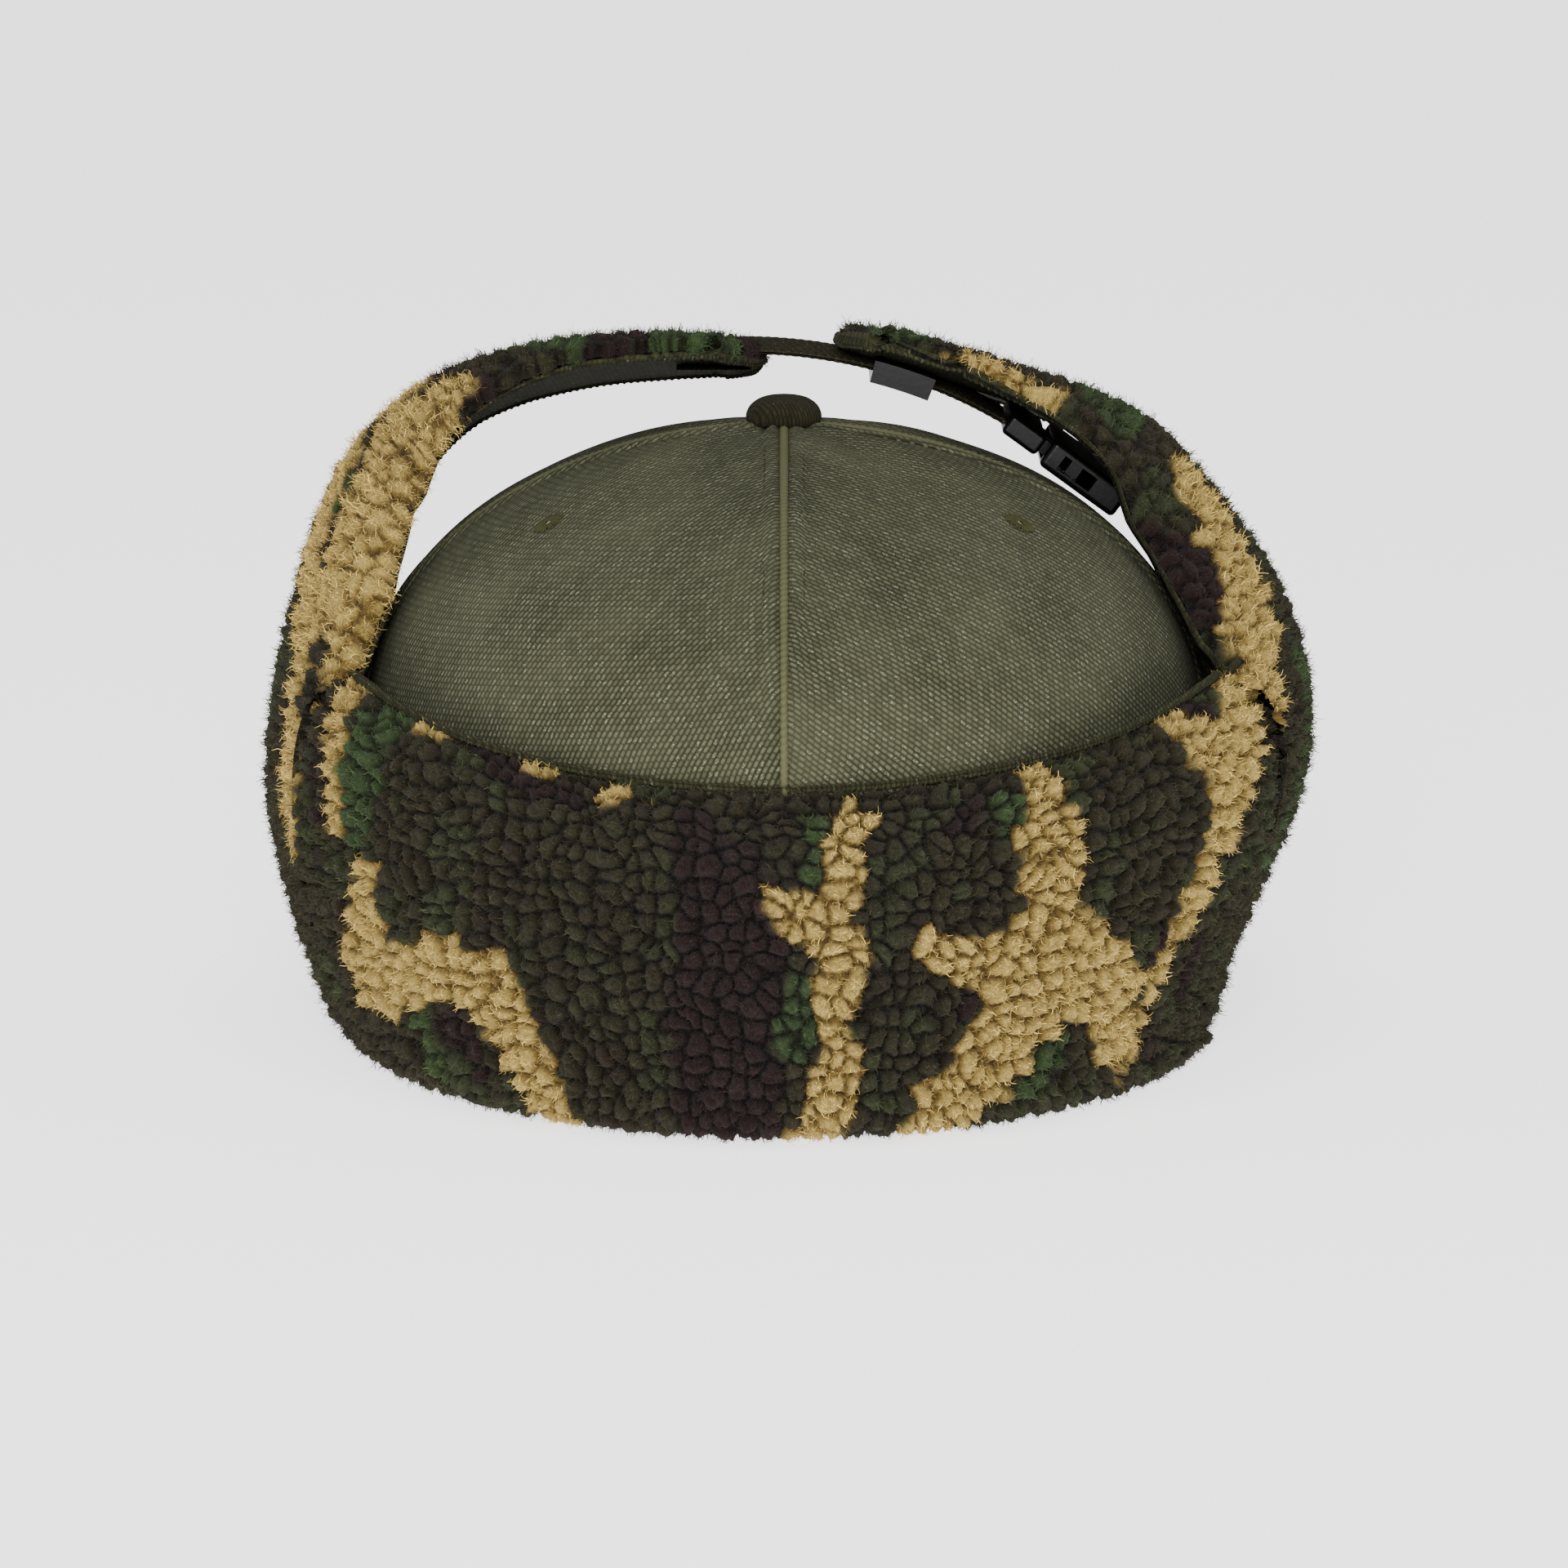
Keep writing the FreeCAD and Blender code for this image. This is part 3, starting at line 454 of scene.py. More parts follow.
# --- crown -----------------------------------------------------------------------------------------
RATIO = 1.15
CROWN_RADIUS, RIM_RADIUS, WIDEST_Z, RISE = 88.4, 85.5, 67.0, 60.0
LOW_EDGE, WALL = 3.0, 0.42                 # height of the lower edge, and the wall's share of the way up
RING, CROWN_RING, CROWN_CLIMB = 111.0, 95.0, 190.0     # cloth lengths: cuff and crown, round and up
SIDE_SEAM = math.radians(86.0)
SEAMS = (0.0, SIDE_SEAM, -SIDE_SEAM, math.pi)
EYELETS = [(side, back) for side in (1, -1) for back in (1, -1)]
EYELET_Z, EYELET_LEAN = 112.0, math.radians(34.0)


def crown_surface(turn, along, inset=0.0):
    """Point on the crown: turn grows from the back to the left, along from 0 at the rim to 1 on top."""
    low = LOW_EDGE + (WIDEST_Z - LOW_EDGE) * np.clip(along / WALL, 0, 1)
    rise = np.clip((along - WALL) / (1 - WALL), 0, 1) * math.pi / 2
    swell = np.sin(math.pi / 2 * np.clip(low / WIDEST_Z, 0, 1))
    radius = RIM_RADIUS + (CROWN_RADIUS - RIM_RADIUS) * swell - inset
    radius = np.where(along > WALL, (CROWN_RADIUS - inset) * np.cos(rise), radius)
    z = np.where(along > WALL, WIDEST_Z + (RISE - inset) * np.sin(rise), low)
    return np.stack(np.broadcast_arrays(radius * np.sin(turn), radius * RATIO * np.cos(turn), z), -1)


def front_cut(points):
    """Lift the front of the crown's lower edge to the rising line that the visor is sewn to."""
    y, z = points[..., 1], points[..., 2]
    edge = LOW_EDGE + np.clip(-45.0 - y, 0, None) * math.tan(math.radians(22.0))
    squeeze = (WIDEST_Z - edge) / (WIDEST_Z - LOW_EDGE)
    lifted = points.copy()
    lifted[..., 2] = np.where(z < WIDEST_Z, WIDEST_Z - (WIDEST_Z - z) * squeeze, z)
    return lifted


def crown_panel(name, start, end, material):
    """One panel, puckered along its seams, with a hole at its eyelet."""
    rows, columns = int(CROWN_CLIMB / FINE), int(abs(end - start) * CROWN_RING / 0.85 / FINE)
    along = np.linspace(0, 0.985, rows)[:, None] * np.ones((1, columns))
    turn = np.linspace(start, end, columns)[None, :] * np.ones((rows, 1))
    base = front_cut(crown_surface(turn, along))
    normal, flip = grid_normals(base, base * np.array([1, 1, 0.5]))
    radius = np.hypot(base[..., 0], base[..., 1] / RATIO)
    seam = np.minimum(np.abs(turn - start), np.abs(end - turn)) * radius
    lift = 0.55 * np.exp(-((seam - 2.6) / 1.5) ** 2) - 0.9 * np.exp(-(seam / 0.9) ** 2)
    s, h = turn * CROWN_RING, along * CROWN_CLIMB
    lift += 0.45 * noise(s / 34, h / 34, 5) + 0.25 * noise(s / 15, h / 21, 6) * ramp(0.2, 0.4, along)
    lift -= 0.22 * np.exp(-((seam - 4.6) / 0.5) ** 2)
    keep = np.ones(rows * columns, bool)
    for eyelet in EYELETS:
        reach = np.linalg.norm(base - eyelet_centre(*eyelet), axis=-1)
        lift -= 0.25 * np.exp(-(reach / 4.5) ** 2)
        keep &= reach.ravel() > 0.9
    points = base + normal * lift[..., None]
    cloth = cloth_at((turn - (start + end) / 2) * radius * 1.07, h * 0.95)
    quads = grid_quads(rows, columns, flip)
    quads = quads[keep[quads].all(axis=1)]
    obj = make_mesh(name, points.reshape(-1, 3), quads, [material], cloth=cloth.reshape(-1, 3))
    belongs(obj, "crown", "olive_twill", name.replace("crown", "crown_panel"))


def eyelet_centre(side, back):
    radius = CROWN_RADIUS * math.sqrt(1 - ((EYELET_Z - WIDEST_Z) / RISE) ** 2)
    return np.array([side * radius * math.cos(EYELET_LEAN), back * radius * RATIO * math.sin(EYELET_LEAN),
                     EYELET_Z])


def dome_normal(point):
    """Outward direction of the crown's dome at a point."""
    n = np.array([point[0] / CROWN_RADIUS ** 2, point[1] / (CROWN_RADIUS * RATIO) ** 2,
                  max(point[2] - WIDEST_Z, 0) / RISE ** 2])
    return n / np.linalg.norm(n)


def make_crown():
    crown_panel("crown_back_left", 0.0, SIDE_SEAM, crown_left)
    crown_panel("crown_back_right", -SIDE_SEAM, 0.0, crown_right)
    crown_panel("crown_front_left", SIDE_SEAM, math.pi, crown_right)
    crown_panel("crown_front_right", -math.pi, -SIDE_SEAM, crown_left)

    cords, rows = [], []
    for turn in SEAMS:
        along = np.linspace(0.0, 0.975, 260)
        line = front_cut(crown_surface(turn, along, 0.15))
        cords.append(tube(line, 0.78, 0.24, pitch=1.5, sides=12))
        for offset in (-4.6, 4.6):
            shifted = crown_surface(turn + offset / np.maximum(np.hypot(line[:, 0], line[:, 1]), 14), along)
            shifted = front_cut(shifted)[:-12]
            normals = np.array([dome_normal(p) for p in shifted])
            rows.append(stitches(shifted, normals, 2.1, 0.8, 0.2, -0.1))
    belongs(make_mesh("seam_cords", *join_parts(cords), [thread]), "crown", "thread")
    belongs(make_mesh("seam_stitches", *join_parts(rows), [dark_thread]), "crown", "thread")

    parts = []
    for eyelet in EYELETS:
        centre = eyelet_centre(*eyelet)
        normal = dome_normal(centre)
        side = np.cross(normal, [0, 0, 1.0])
        side /= np.linalg.norm(side)
        other = np.cross(normal, side)
        for k in range(34):
            turn = 2 * math.pi * k / 34 + rng.uniform(-0.05, 0.05)
            out = math.cos(turn) * side + math.sin(turn) * other
            reach = rng.uniform(3.1, 3.9)
            share = np.linspace(0, 1, 6)[:, None]
            bow = np.sin(share * math.pi) * 0.2 - 0.35 * share - 0.12
            line = centre + out * (0.6 + (reach - 0.6) * share) + normal * bow
            parts.append(stitches(line, np.tile(normal, (6, 1)), reach - 0.8, 0.05, 0.24))
    belongs(make_mesh("eyelet_threads", *join_parts(parts), [eyelet_thread]), "crown", "thread", "eyelets")


def make_button():
    profile = [(0.02, 133.0), (2.5, 132.9), (5.0, 132.3), (7.0, 130.8), (7.9, 128.9), (7.7, 127.4),
               (6.6, 126.6), (4.0, 126.4)]
    path = Path(profile)
    line = path(np.linspace(0, path.length, 60))
    turn = np.linspace(0, 2 * math.pi, 121)
    pleat = 1 + 0.018 * np.cos(turn * 9 + 1.0)[None, :] * ramp(3, 7, line[:, 0])[:, None]
    radius = line[:, 0][:, None] * pleat
    points = np.stack([radius * np.cos(turn), radius * np.sin(turn), line[:, 1][:, None] + 0 * turn], -1)
    _, flip = grid_normals(points, points - np.array([0, 0, 128.0]))
    button = grid_mesh("covered_button", points, flip, button_twill, points)
    belongs(button, "crown", "button_cloth", "top_button")


def inner_shell(name, start, end, low, high, inset, thick, material, slot, node):
    """Sheet inside the crown, with both faces and its edges."""
    columns = max(int(abs(end - start) * 90 / 2.0), 6)
    along = np.linspace(low, high, 60)
    turn = np.linspace(start, end, columns)
    outer = crown_surface(turn[None, :], along[:, None], inset)
    inner = crown_surface(turn[None, :], along[::-1, None], inset + thick)
    points = front_cut(np.concatenate([outer, inner, outer[:1]]))
    up = np.concatenate([along, along[::-1], along[:1]])[:, None] * 150.0
    obj = grid_mesh(name, points, False, material, cloth_at(turn[None, :] * CROWN_RING, up))
    belongs(obj, "crown", slot, node)


def make_inside():
    inner_shell("sweatband_cloth", -math.pi, math.pi, 0.005, 0.21, 1.9, 1.0, band_cloth, "sweatband_cloth",
                "sweatband")
    half = math.radians(4.0)
    for k, turn in enumerate(SEAMS):
        inner_shell("seam_tape_%d" % k, turn - half, turn + half, 0.24, 0.93, 1.7, 0.6, lining_cloth,
                    "olive_lining", "seam_tapes")
    for name, sign in (("left", 1), ("right", -1)):
        inner_shell("backing_" + name, sign * math.radians(104), sign * math.radians(179), 0.24, 0.82, 2.5,
                    0.8, buckram_cloth, "buckram", "front_backing")


# --- visor -----------------------------------------------------------------------------------------
VISOR_EDGE = [(-66, -62), (-76, -92), (-68, -132), (-38, -160), (0, -169), (38, -160), (68, -132), (76, -92),
              (66, -62)]
VISOR_ROOT_Z, VISOR_BEND, VISOR_DROP, VISOR_HALF = 27.0, 140.0, math.radians(6.0), 2.2
VISOR_ROWS = range(5, 42, 6)                # distances of the sewn rows from the edge


def visor_height(x, y):
    """Middle surface of the bent board."""
    bent = VISOR_ROOT_Z - VISOR_BEND + np.sqrt(VISOR_BEND ** 2 - x * x)
    return bent + (y + RIM_RADIUS * RATIO) * math.tan(VISOR_DROP)


def visor_grid(rows, columns, thick):
    """Visor face from the crown to its edge, which rounds over to the middle surface."""
    path = Path(VISOR_EDGE)
    edge = path(np.linspace(0, path.length, columns))
    turn = np.linspace(-math.radians(52), math.radians(52), columns)
    root = np.stack([86.2 * np.sin(turn), -86.2 * RATIO * np.cos(turn)], -1)
    share = np.linspace(0, 1, rows)[:, None, None]
    plan = root[None] * (1 - share) + edge[None] * share
    inside = np.linalg.norm(edge[None] - plan, axis=-1)
    rounded = abs(thick) * (1 - np.sqrt(np.clip(1 - (1 - np.clip(inside / abs(thick), 0, 1)) ** 2, 0, 1)))
    z = visor_height(plan[..., 0], plan[..., 1]) + math.copysign(1, thick) * (abs(thick) - rounded)
    return np.concatenate([plan, z[..., None]], -1), inside


def make_visor():
    rows, columns = int(120 / FINE), int(300 / FINE)
    for name, thick, material, slot in (("visor_top", VISOR_HALF, crown_left, "olive_twill"),
                                        ("visor_under", -VISOR_HALF, lining_cloth, "olive_lining")):
        points, inside = visor_grid(rows, columns, thick)
        grooves = 0.28 * np.exp(-(((inside % 6.0) - 5.0) / 0.7) ** 2)
        grooves = grooves * ramp(1.5, 3.0, inside) * ramp(54, 46, inside)
        up = math.copysign(1, thick)
        points[..., 2] -= up * grooves
        _, flip = grid_normals(points, np.array([0, 0, up]))
        obj = grid_mesh(name, points, flip, material, cloth_at(points[..., 0], points[..., 1]))
        belongs(obj, "crown", slot, name + "_cloth")
    lines = []
    points, inside = visor_grid(240, 160, VISOR_HALF)
    for inset in VISOR_ROWS:
        row = np.argmin(np.abs(inside - inset), axis=0)
        line = points[row, np.arange(160)]
        clear = np.hypot(line[:, 0], line[:, 1] / RATIO) > 90.5
        lines.append(stitches(line[clear], np.tile([0, 0, 1.0], (clear.sum(), 1)), 2.4, 0.7, 0.22, -0.25))
    belongs(make_mesh("visor_stitches", *join_parts(lines), [thread]), "crown", "thread")
    path = Path(VISOR_EDGE)
    binding = path(np.linspace(0, path.length, 400))
    line = np.concatenate([binding, visor_height(binding[:, 0], binding[:, 1])[:, None]], -1)
    points, quads = tube(line, 1.0)
    belongs(make_mesh("visor_binding", points, quads, [crown_left], cloth=points), "crown", "olive_twill")


# --- camouflage print --------------------------------------------------------------------------------
# Strokes on the cloth as (s, h, half-width): s runs round the rim from the centre back, to the left
# positive, and h up the cuff from the rim.
PRINT = [
    ("green", [
        [(99, 101, 6), (100, 86, 7), (103, 69, 7), (103, 53, 4)],
        [(-7, 73, 2.4), (-7, 60, 2.2)],
        [(-47, 74, 3), (-47, 66, 2)],
        [(-4, 37, 3), (-3, 28, 4), (-4, 21, 2)],
        [(89, 20, 4), (88, 10, 3)],
        [(-160, 80, 5), (-150, 59, 4), (-135, 41, 3)],
        [(-65, 18, 4), (-59, 11, 3)],
        [(168, 112, 2), (166, 132, 2.5)],
        [(198, 158, 9), (184, 176, 9)],
        [(182, 196, 9), (200, 212, 9)],
        [(-185, 150, 8), (-172, 142, 5)],
        [(-190, 192, 9), (-180, 200, 6)],
        [(-196, 110, 12), (-205, 70, 9)],
    ]),
    ("brown", [
        [(18, 72, 5), (13, 60, 10), (10, 46, 11), (13, 29, 12), (13, 5, 12)],
        [(-107, 117, 5), (-107, 103, 6), (-106, 90, 6), (-103, 79, 4)],
        [(-150, 128, 7), (-152, 108, 8), (-146, 92, 6)],
        [(79, 86, 2.3), (62, 80, 3), (43, 75, 1.9)],
        [(79, 19, 5), (74, 11, 3)],
        [(119, 83, 1.2), (121, 64, 1.5), (119, 44, 1.5)],
        [(-91, 43, 2), (-90, 31, 1.6)],
        [(-109, 31, 3), (-111, 20, 2)],
        [(-37, 71, 4), (-40, 75, 2.2)],
        [(-43, 32, 2.3), (-39, 28, 1.9)],
        [(164, 100, 1.8), (164, 130, 1.8)],
        [(188, 144, 4), (170, 154, 3)],
        [(168, 182, 4), (192, 188, 6)],
        [(205, 218, 8), (190, 219, 6)],
        [(215, 60, 10), (222, 95, 9)],
    ]),
    ("tan", [
        [(-57, 84, 4), (-56, 74, 5), (-56, 61, 6), (-57, 49, 8), (-59, 37, 11)],
        [(-59, 37, 9), (-44, 39, 5.5), (-30, 44, 2.5)],
        [(-61, 39, 10), (-73, 32, 7.5), (-82, 24, 6), (-89, 14, 5)],
        [(-57, 29, 9), (-48, 19, 8), (-39, 10, 7), (-32, 1, 6)],
        [(-15, 76, 4), (-13, 68, 3), (-11, 60, 3), (-9, 51, 5), (-12, 41, 4), (-11, 31, 3), (-12, 23, 3),
         (-12, 14, 5), (-7, 1, 5)],
        [(-9, 49, 4), (-3, 53, 3), (2, 56, 1.4)],
        [(98, 50, 1.5), (102, 38, 5), (107, 24, 8), (92, 28, 5.5), (76, 34, 6), (64, 28, 6.5), (60, 16, 6),
         (55, 1, 6)],
        [(93, 97, 4), (90, 86, 5), (84, 89, 3)],
        [(57, 84, 2.1), (54, 85, 1.4)],
        [(37, 78, 2.1)],
        [(29, 78, 1.4)],
        [(178, 120, 5), (172, 100, 5), (150, 88, 3.5), (138, 74, 3.5), (136, 60, 3), (134, 44, 1.6)],
        [(172, 150, 4), (168, 138, 7), (160, 120, 8), (152, 104, 7), (130, 92, 5), (117, 82, 4),
         (113, 69, 3.4), (111, 56, 2)],
        [(182, 138, 5), (186, 126, 4)],
        [(-172, 122, 5), (-160, 100, 6), (-136, 86, 5), (-120, 73, 7), (-107, 62, 6.5), (-103, 49, 4.2),
         (-96, 33, 3), (-93, 20, 2)],
        [(-97, 98, 3.5), (-97, 85, 4.2), (-104, 72, 5)],
        [(-169, 160, 4), (-174, 173, 5), (-173, 187, 3)],
        [(-186, 210, 6), (-198, 213, 4)],
        [(210, 30, 7), (205, 55, 5), (226, 80, 5)],
        [(-214, 40, 8), (-206, 84, 5), (-226, 120, 6), (-212, 150, 5)],
        [(222, 130, 6), (208, 168, 6), (226, 190, 5)],
    ]),
]
COLOURS = {"base": linear(41, 38, 25), "green": linear(46, 60, 34), "brown": linear(34, 23, 21),
           "tan": linear(160, 138, 78)}


def stroke_reach(s, h, stroke):
    """Distance outside a stroke, negative inside."""
    if len(stroke) == 1:
        stroke = stroke * 2
    best = np.full(s.shape, 99.0)
    for (s0, h0, w0), (s1, h1, w1) in zip(stroke[:-1], stroke[1:]):
        ds, dh = s1 - s0, h1 - h0
        t = np.clip(((s - s0) * ds + (h - h0) * dh) / max(ds * ds + dh * dh, 1e-6), 0, 1)
        best = np.minimum(best, np.hypot(s - s0 - t * ds, h - h0 - t * dh) - w0 - t * (w1 - w0))
    return best


def camouflage(s, h):
    """Colour of the print at each point of the cloth."""
    s = s + 1.3 * noise(s / 6, h / 6, 31) + 0.9 * noise(s / 2.4, h / 2.4, 32)
    h = h + 1.8 * noise(s / 6, h / 6, 33) + 1.0 * noise(s / 2.4, h / 2.4, 34)
    colour = np.zeros(s.shape + (4,))
    colour[...] = COLOURS["base"]
    mottle = ramp(-0.1, 0.9, noise(s / 7, h / 9, 35) + 0.5 * noise(s / 3, h / 3, 36))[..., None]
    colour = colour * (1 - 0.4 * mottle) + np.array(COLOURS["green"]) * 0.4 * mottle
    mottle = ramp(0.1, 1.0, noise(s / 8, h / 6, 37) + 0.5 * noise(s / 3, h / 3, 38))[..., None]
    colour = colour * (1 - 0.5 * mottle) + np.array(COLOURS["brown"]) * 0.5 * mottle
    for name, strokes in PRINT:
        reach = np.full(s.shape, 99.0)
        for stroke in strokes:
            reach = np.minimum(reach, stroke_reach(s, h, stroke))
        grow = 0.9 if name == "tan" else 0.0
        share = ramp(grow + 0.7, grow - 0.7, reach)[..., None]
        colour = colour * (1 - share) + np.array(COLOURS[name]) * share
    return colour


# --- cuff ------------------------------------------------------------------------------------------
FIBRE_DENSITY = 2.0                         # loose fibres to a square millimetre


def pile_piece(name, base, outward, s, h, height, streak=0.0):
    """Curly pile on a grid of base points: tufts as real relief, and loose fibres standing off them."""
    rows, columns = base.shape[:2]
    normal, flip = grid_normals(base, outward)
    coarse, tuft_s, tuft_h = tufts(s, h, 4.3, 50)
    small, _, _ = tufts(s, h, 1.9, 90)
    lie = noise(s / 1.1, h / 4.5, 71) * streak
    relief = coarse + 0.34 * small + 0.12 * noise(s / 0.9, h / 0.9, 70) + 0.25 * lie
    # depth is the tuft height that drives the pile's painted shade, low in the valleys and high on the tips
    depth = np.clip(0.9 * relief - 0.1, 0, 1).ravel()
    relief = relief - 0.55 - 0.45 * ramp(-2.0, 12.0, h)
    points = base + normal * (height * relief)[..., None]
    # a tuft's own place sways its colour, so that most of it is in one colour of the print
    colour = camouflage(s * 0.45 + tuft_s * (1 - 0.45), h * 0.45 + tuft_h * (1 - 0.45)).reshape(-1, 4)
    cloth = cloth_at(s, h).reshape(-1, 3)

    area = np.linalg.norm(np.cross(np.gradient(base, axis=0), np.gradient(base, axis=1)), axis=-1).ravel()
    count = int(area.sum() * FIBRE_DENSITY / FINE ** 2)
    pick = rng.choice(rows * columns, size=count, p=area / area.sum())
    root = points.reshape(-1, 3)[pick]
    up = normal.reshape(-1, 3)[pick]
    first = up * 0.75 + rng.normal(0, 0.55, (count, 3))
    first /= np.linalg.norm(first, axis=1, keepdims=True)
    second = first * 0.4 + rng.normal(0, 0.75, (count, 3)) + up * 0.15
    second /= np.linalg.norm(second, axis=1, keepdims=True)
    length = rng.uniform(0.7, 1.9, (count, 1)) * (1 + 0.4 * streak)
    middle = root + first * length * 0.55
    tip = middle + second * length * 0.6
    side = np.cross(first, rng.normal(0, 1, (count, 3)))
    side /= np.maximum(np.linalg.norm(side, axis=1, keepdims=True), 1e-6)
    strands = np.stack([root - side * 0.09, root + side * 0.09, middle - side * 0.07, middle + side * 0.07,
                        tip - side * 0.03, tip + side * 0.03], 1).reshape(-1, 3)
    start = rows * columns + 6 * np.arange(count)[:, None]
    strand_quads = np.concatenate([start + np.array([[0, 1, 3, 2]]), start + np.array([[2, 3, 5, 4]])])
    every = np.repeat(pick, 6)
    light = np.repeat(rng.uniform(0.9, 1.9, (count, 1)), 6, axis=0) * [1, 1, 1, 0] + [0, 0, 0, 1]
    obj = make_mesh(
        name, np.vstack([points.reshape(-1, 3), strands]),
        np.vstack([grid_quads(rows, columns, flip), strand_quads]), [pile],
        print=np.vstack([colour, colour[every] * light]),
        # loose fibres sit 0.25 higher on that painted shade ramp, so they are painted lighter
        depth=np.concatenate([depth, np.clip(depth[every] + 0.25, 0, 1)]),
        cloth=np.vstack([cloth, cloth[every]]))
    return obj


NECK_BACK = [(99.8, 8.0), (100.0, 4.2), (103.5, 1.5), (108.5, 1.0), (113.0, 2.2), (115.8, 6.0), (116.4, 12.0),
             (116.0, 18.0), (114.8, 28.0), (113.0, 40.0), (111.4, 50.0), (109.4, 58.0), (107.2, 64.0),
             (104.6, 67.6), (102.4, 68.6), (101.6, 66.8)]
NECK_SIDE = [(86.6, 8.0), (86.9, 4.2), (89.0, 1.9), (92.0, 1.4), (95.2, 2.8), (98.0, 6.5), (100.3, 12.0),
             (102.6, 18.0), (106.2, 30.0), (109.0, 45.0), (109.8, 57.0), (109.2, 68.0), (106.8, 77.5),
             (102.8, 83.5), (99.0, 85.6), (96.2, 84.0)]
CUT_MIDDLE, CUT_EAR = math.radians(17.6), math.radians(71.0)
RIM_BEND = (0, 0, 2.0), (0, 0, 17.0)        # points at the rim handed to hinge_blend with the neck flap pieces


def neck_point(turn, at):
    """Outer face of the neck flap: turn from the centre back, at along the profiles' points."""
    back, side = smooth_path(NECK_BACK, at), smooth_path(NECK_SIDE, at)
    w = (1 - np.cos(turn)) / 0.741
    z = back[..., 1] * (1 - w) + side[..., 1] * w
    narrow = np.interp(side[..., 1], [0, 3, 8, 18, 30, 45, 60], [-1.5, -3.6, -5.4, -6.2, -4.6, -1.4, 1.0])
    narrow = narrow * ramp(2, 6, at) * ramp(-0.15, -1.1, turn)
    duck = ramp(1.02, 1.23, np.abs(turn)) * ramp(9.5, 13.0, at)
    return np.stack([(side[..., 0] + narrow - 2.5 * duck) * np.sin(turn), back[..., 0] * np.cos(turn),
                     z - 3.0 * duck], -1)


def neck_rows(spacing):
    """Profile parameters at even spacing, and the height h of each on the cloth."""
    fine = np.linspace(0, len(NECK_BACK) - 1, 1500)
    middle = (smooth_path(NECK_BACK, fine) + smooth_path(NECK_SIDE, fine)) / 2
    run = lengths(middle)
    even = np.linspace(0, run[-1], int(run[-1] / spacing))
    start = np.interp(3.0, fine, run)
    return np.interp(even, run, fine), even - start


def neck_piece(body, start, end, nodes):
    """One stretch of the neck flap: pile outside, and a lining with an overlocked edge."""
    spacing = 0.5 * FINE
    at, h = neck_rows(spacing)
    columns = int(abs(end - start) * RING / spacing)
    turn = np.linspace(start, end, columns)
    base = neck_point(*np.meshgrid(turn, at))
    s, h = np.meshgrid(turn * RING, h)
    edge = ramp(0.0, 5.0, h[-1] - h)
    height = 3.1 * (0.35 + 0.65 * edge) * (0.5 + 0.5 * ramp(-2.0, 9.0, h))
    obj = pile_piece(body + "_curls", base, base * np.array([1, 1, 0]), s, h, height)
    hinge_blend(obj, "crown", body, *RIM_BEND)
    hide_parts(*nodes)

    turn = turn[np.abs(turn) < 1.17]             # the ear flap's own lining covers the end
    top = neck_point(turn, np.full(turn.shape, len(NECK_BACK) - 2.0))
    bottom = neck_point(turn, np.zeros(turn.shape))
    out = top * np.array([1, 1, 0])
    out /= np.linalg.norm(out, axis=1, keepdims=True)
    rolled = Path([(0.8, 1.2), (-0.8, 0.7), (-1.6, -1.0), (-1.6, -4.0)])(np.linspace(0, 7, 10))
    share = np.linspace(0, 1, int(55 / FINE))[:, None, None]
    edge = top[None] + out[None] * rolled[:, 0][:, None, None]
    edge[..., 2] += rolled[:, 1][:, None]
    inner = edge[-1] * (1 - share) + (bottom - out * 0.4) * share
    back = np.concatenate([edge, inner[1:]])
    cloth = cloth_at(turn[None, :] * RING, np.linspace(0, 66, len(back))[:, None])
    cord = tube(top + np.array([0, 0, 0.5]) - out, 0.75, 0.3, pitch=1.5)
    points, quads = join_parts([(back.reshape(-1, 3), grid_quads(len(back), len(turn))), cord])
    lining = make_mesh(body + "_cloth", points, quads, [lining_cloth],
                       cloth=np.vstack([cloth.reshape(-1, 3), cord[0]]))
    hinge_blend(lining, "crown", body, *RIM_BEND)
    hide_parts(nodes[-1])


def hinge_blend(obj, a, b, start, end):
    """Bake the object's transform into its mesh; start and end, in millimetres, are not used."""
    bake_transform(obj)


EAR_PROFILE = {
    1: [(86.6, 8.0), (86.9, 4.2), (89.0, 1.9), (92.0, 1.4), (95.2, 2.8), (98.0, 6.5), (100.3, 12.0),
        (102.6, 18.0), (106.0, 30.0), (108.8, 43.0), (109.6, 52.0), (109.1, 65.0), (107.2, 78.0),
        (104.0, 90.0), (99.2, 103.3), (91.3, 116.8), (79.6, 128.2), (65.2, 135.4),
        (45.0, 139.9), (26.0, 141.1), (4.5, 140.8)],
    -1: [(86.6, 8.0), (86.9, 4.6), (88.0, 2.4), (89.6, 1.8), (91.2, 3.2), (92.6, 6.5), (94.4, 12.0),
         (96.2, 18.0), (101.5, 30.0), (107.0, 43.0), (110.2, 52.0), (111.9, 64.0), (110.6, 77.0),
         (106.0, 90.0), (98.6, 101.4), (89.6, 111.8), (79.0, 121.2), (65.0, 128.0),
         (49.5, 133.0), (31.5, 138.7), (13.0, 144.3)],
}
FLAP_THICK_AT = [0, 14, 84, 125, 165, 230]
FLAP_THICK = {1: [6, 9, 9.2, 8.4, 6.2, 5.2], -1: [6, 9, 9.0, 7.4, 5.4, 5.0]}
REAR_EDGE_AT = [20, 50, 80, 86, 92, 100, 110, 122, 142, 160, 178]
REAR_EDGE = [39.0, 41.5, 42.5, 41.5, 38.5, 33.0, 27, 20, 11, 5, 0]
LEAN = {1: (0.205, 0.205), -1: (0.25, 0.08)}    # slope of the flap's rear and front half over the crown
TIP_ROUND = 25.0


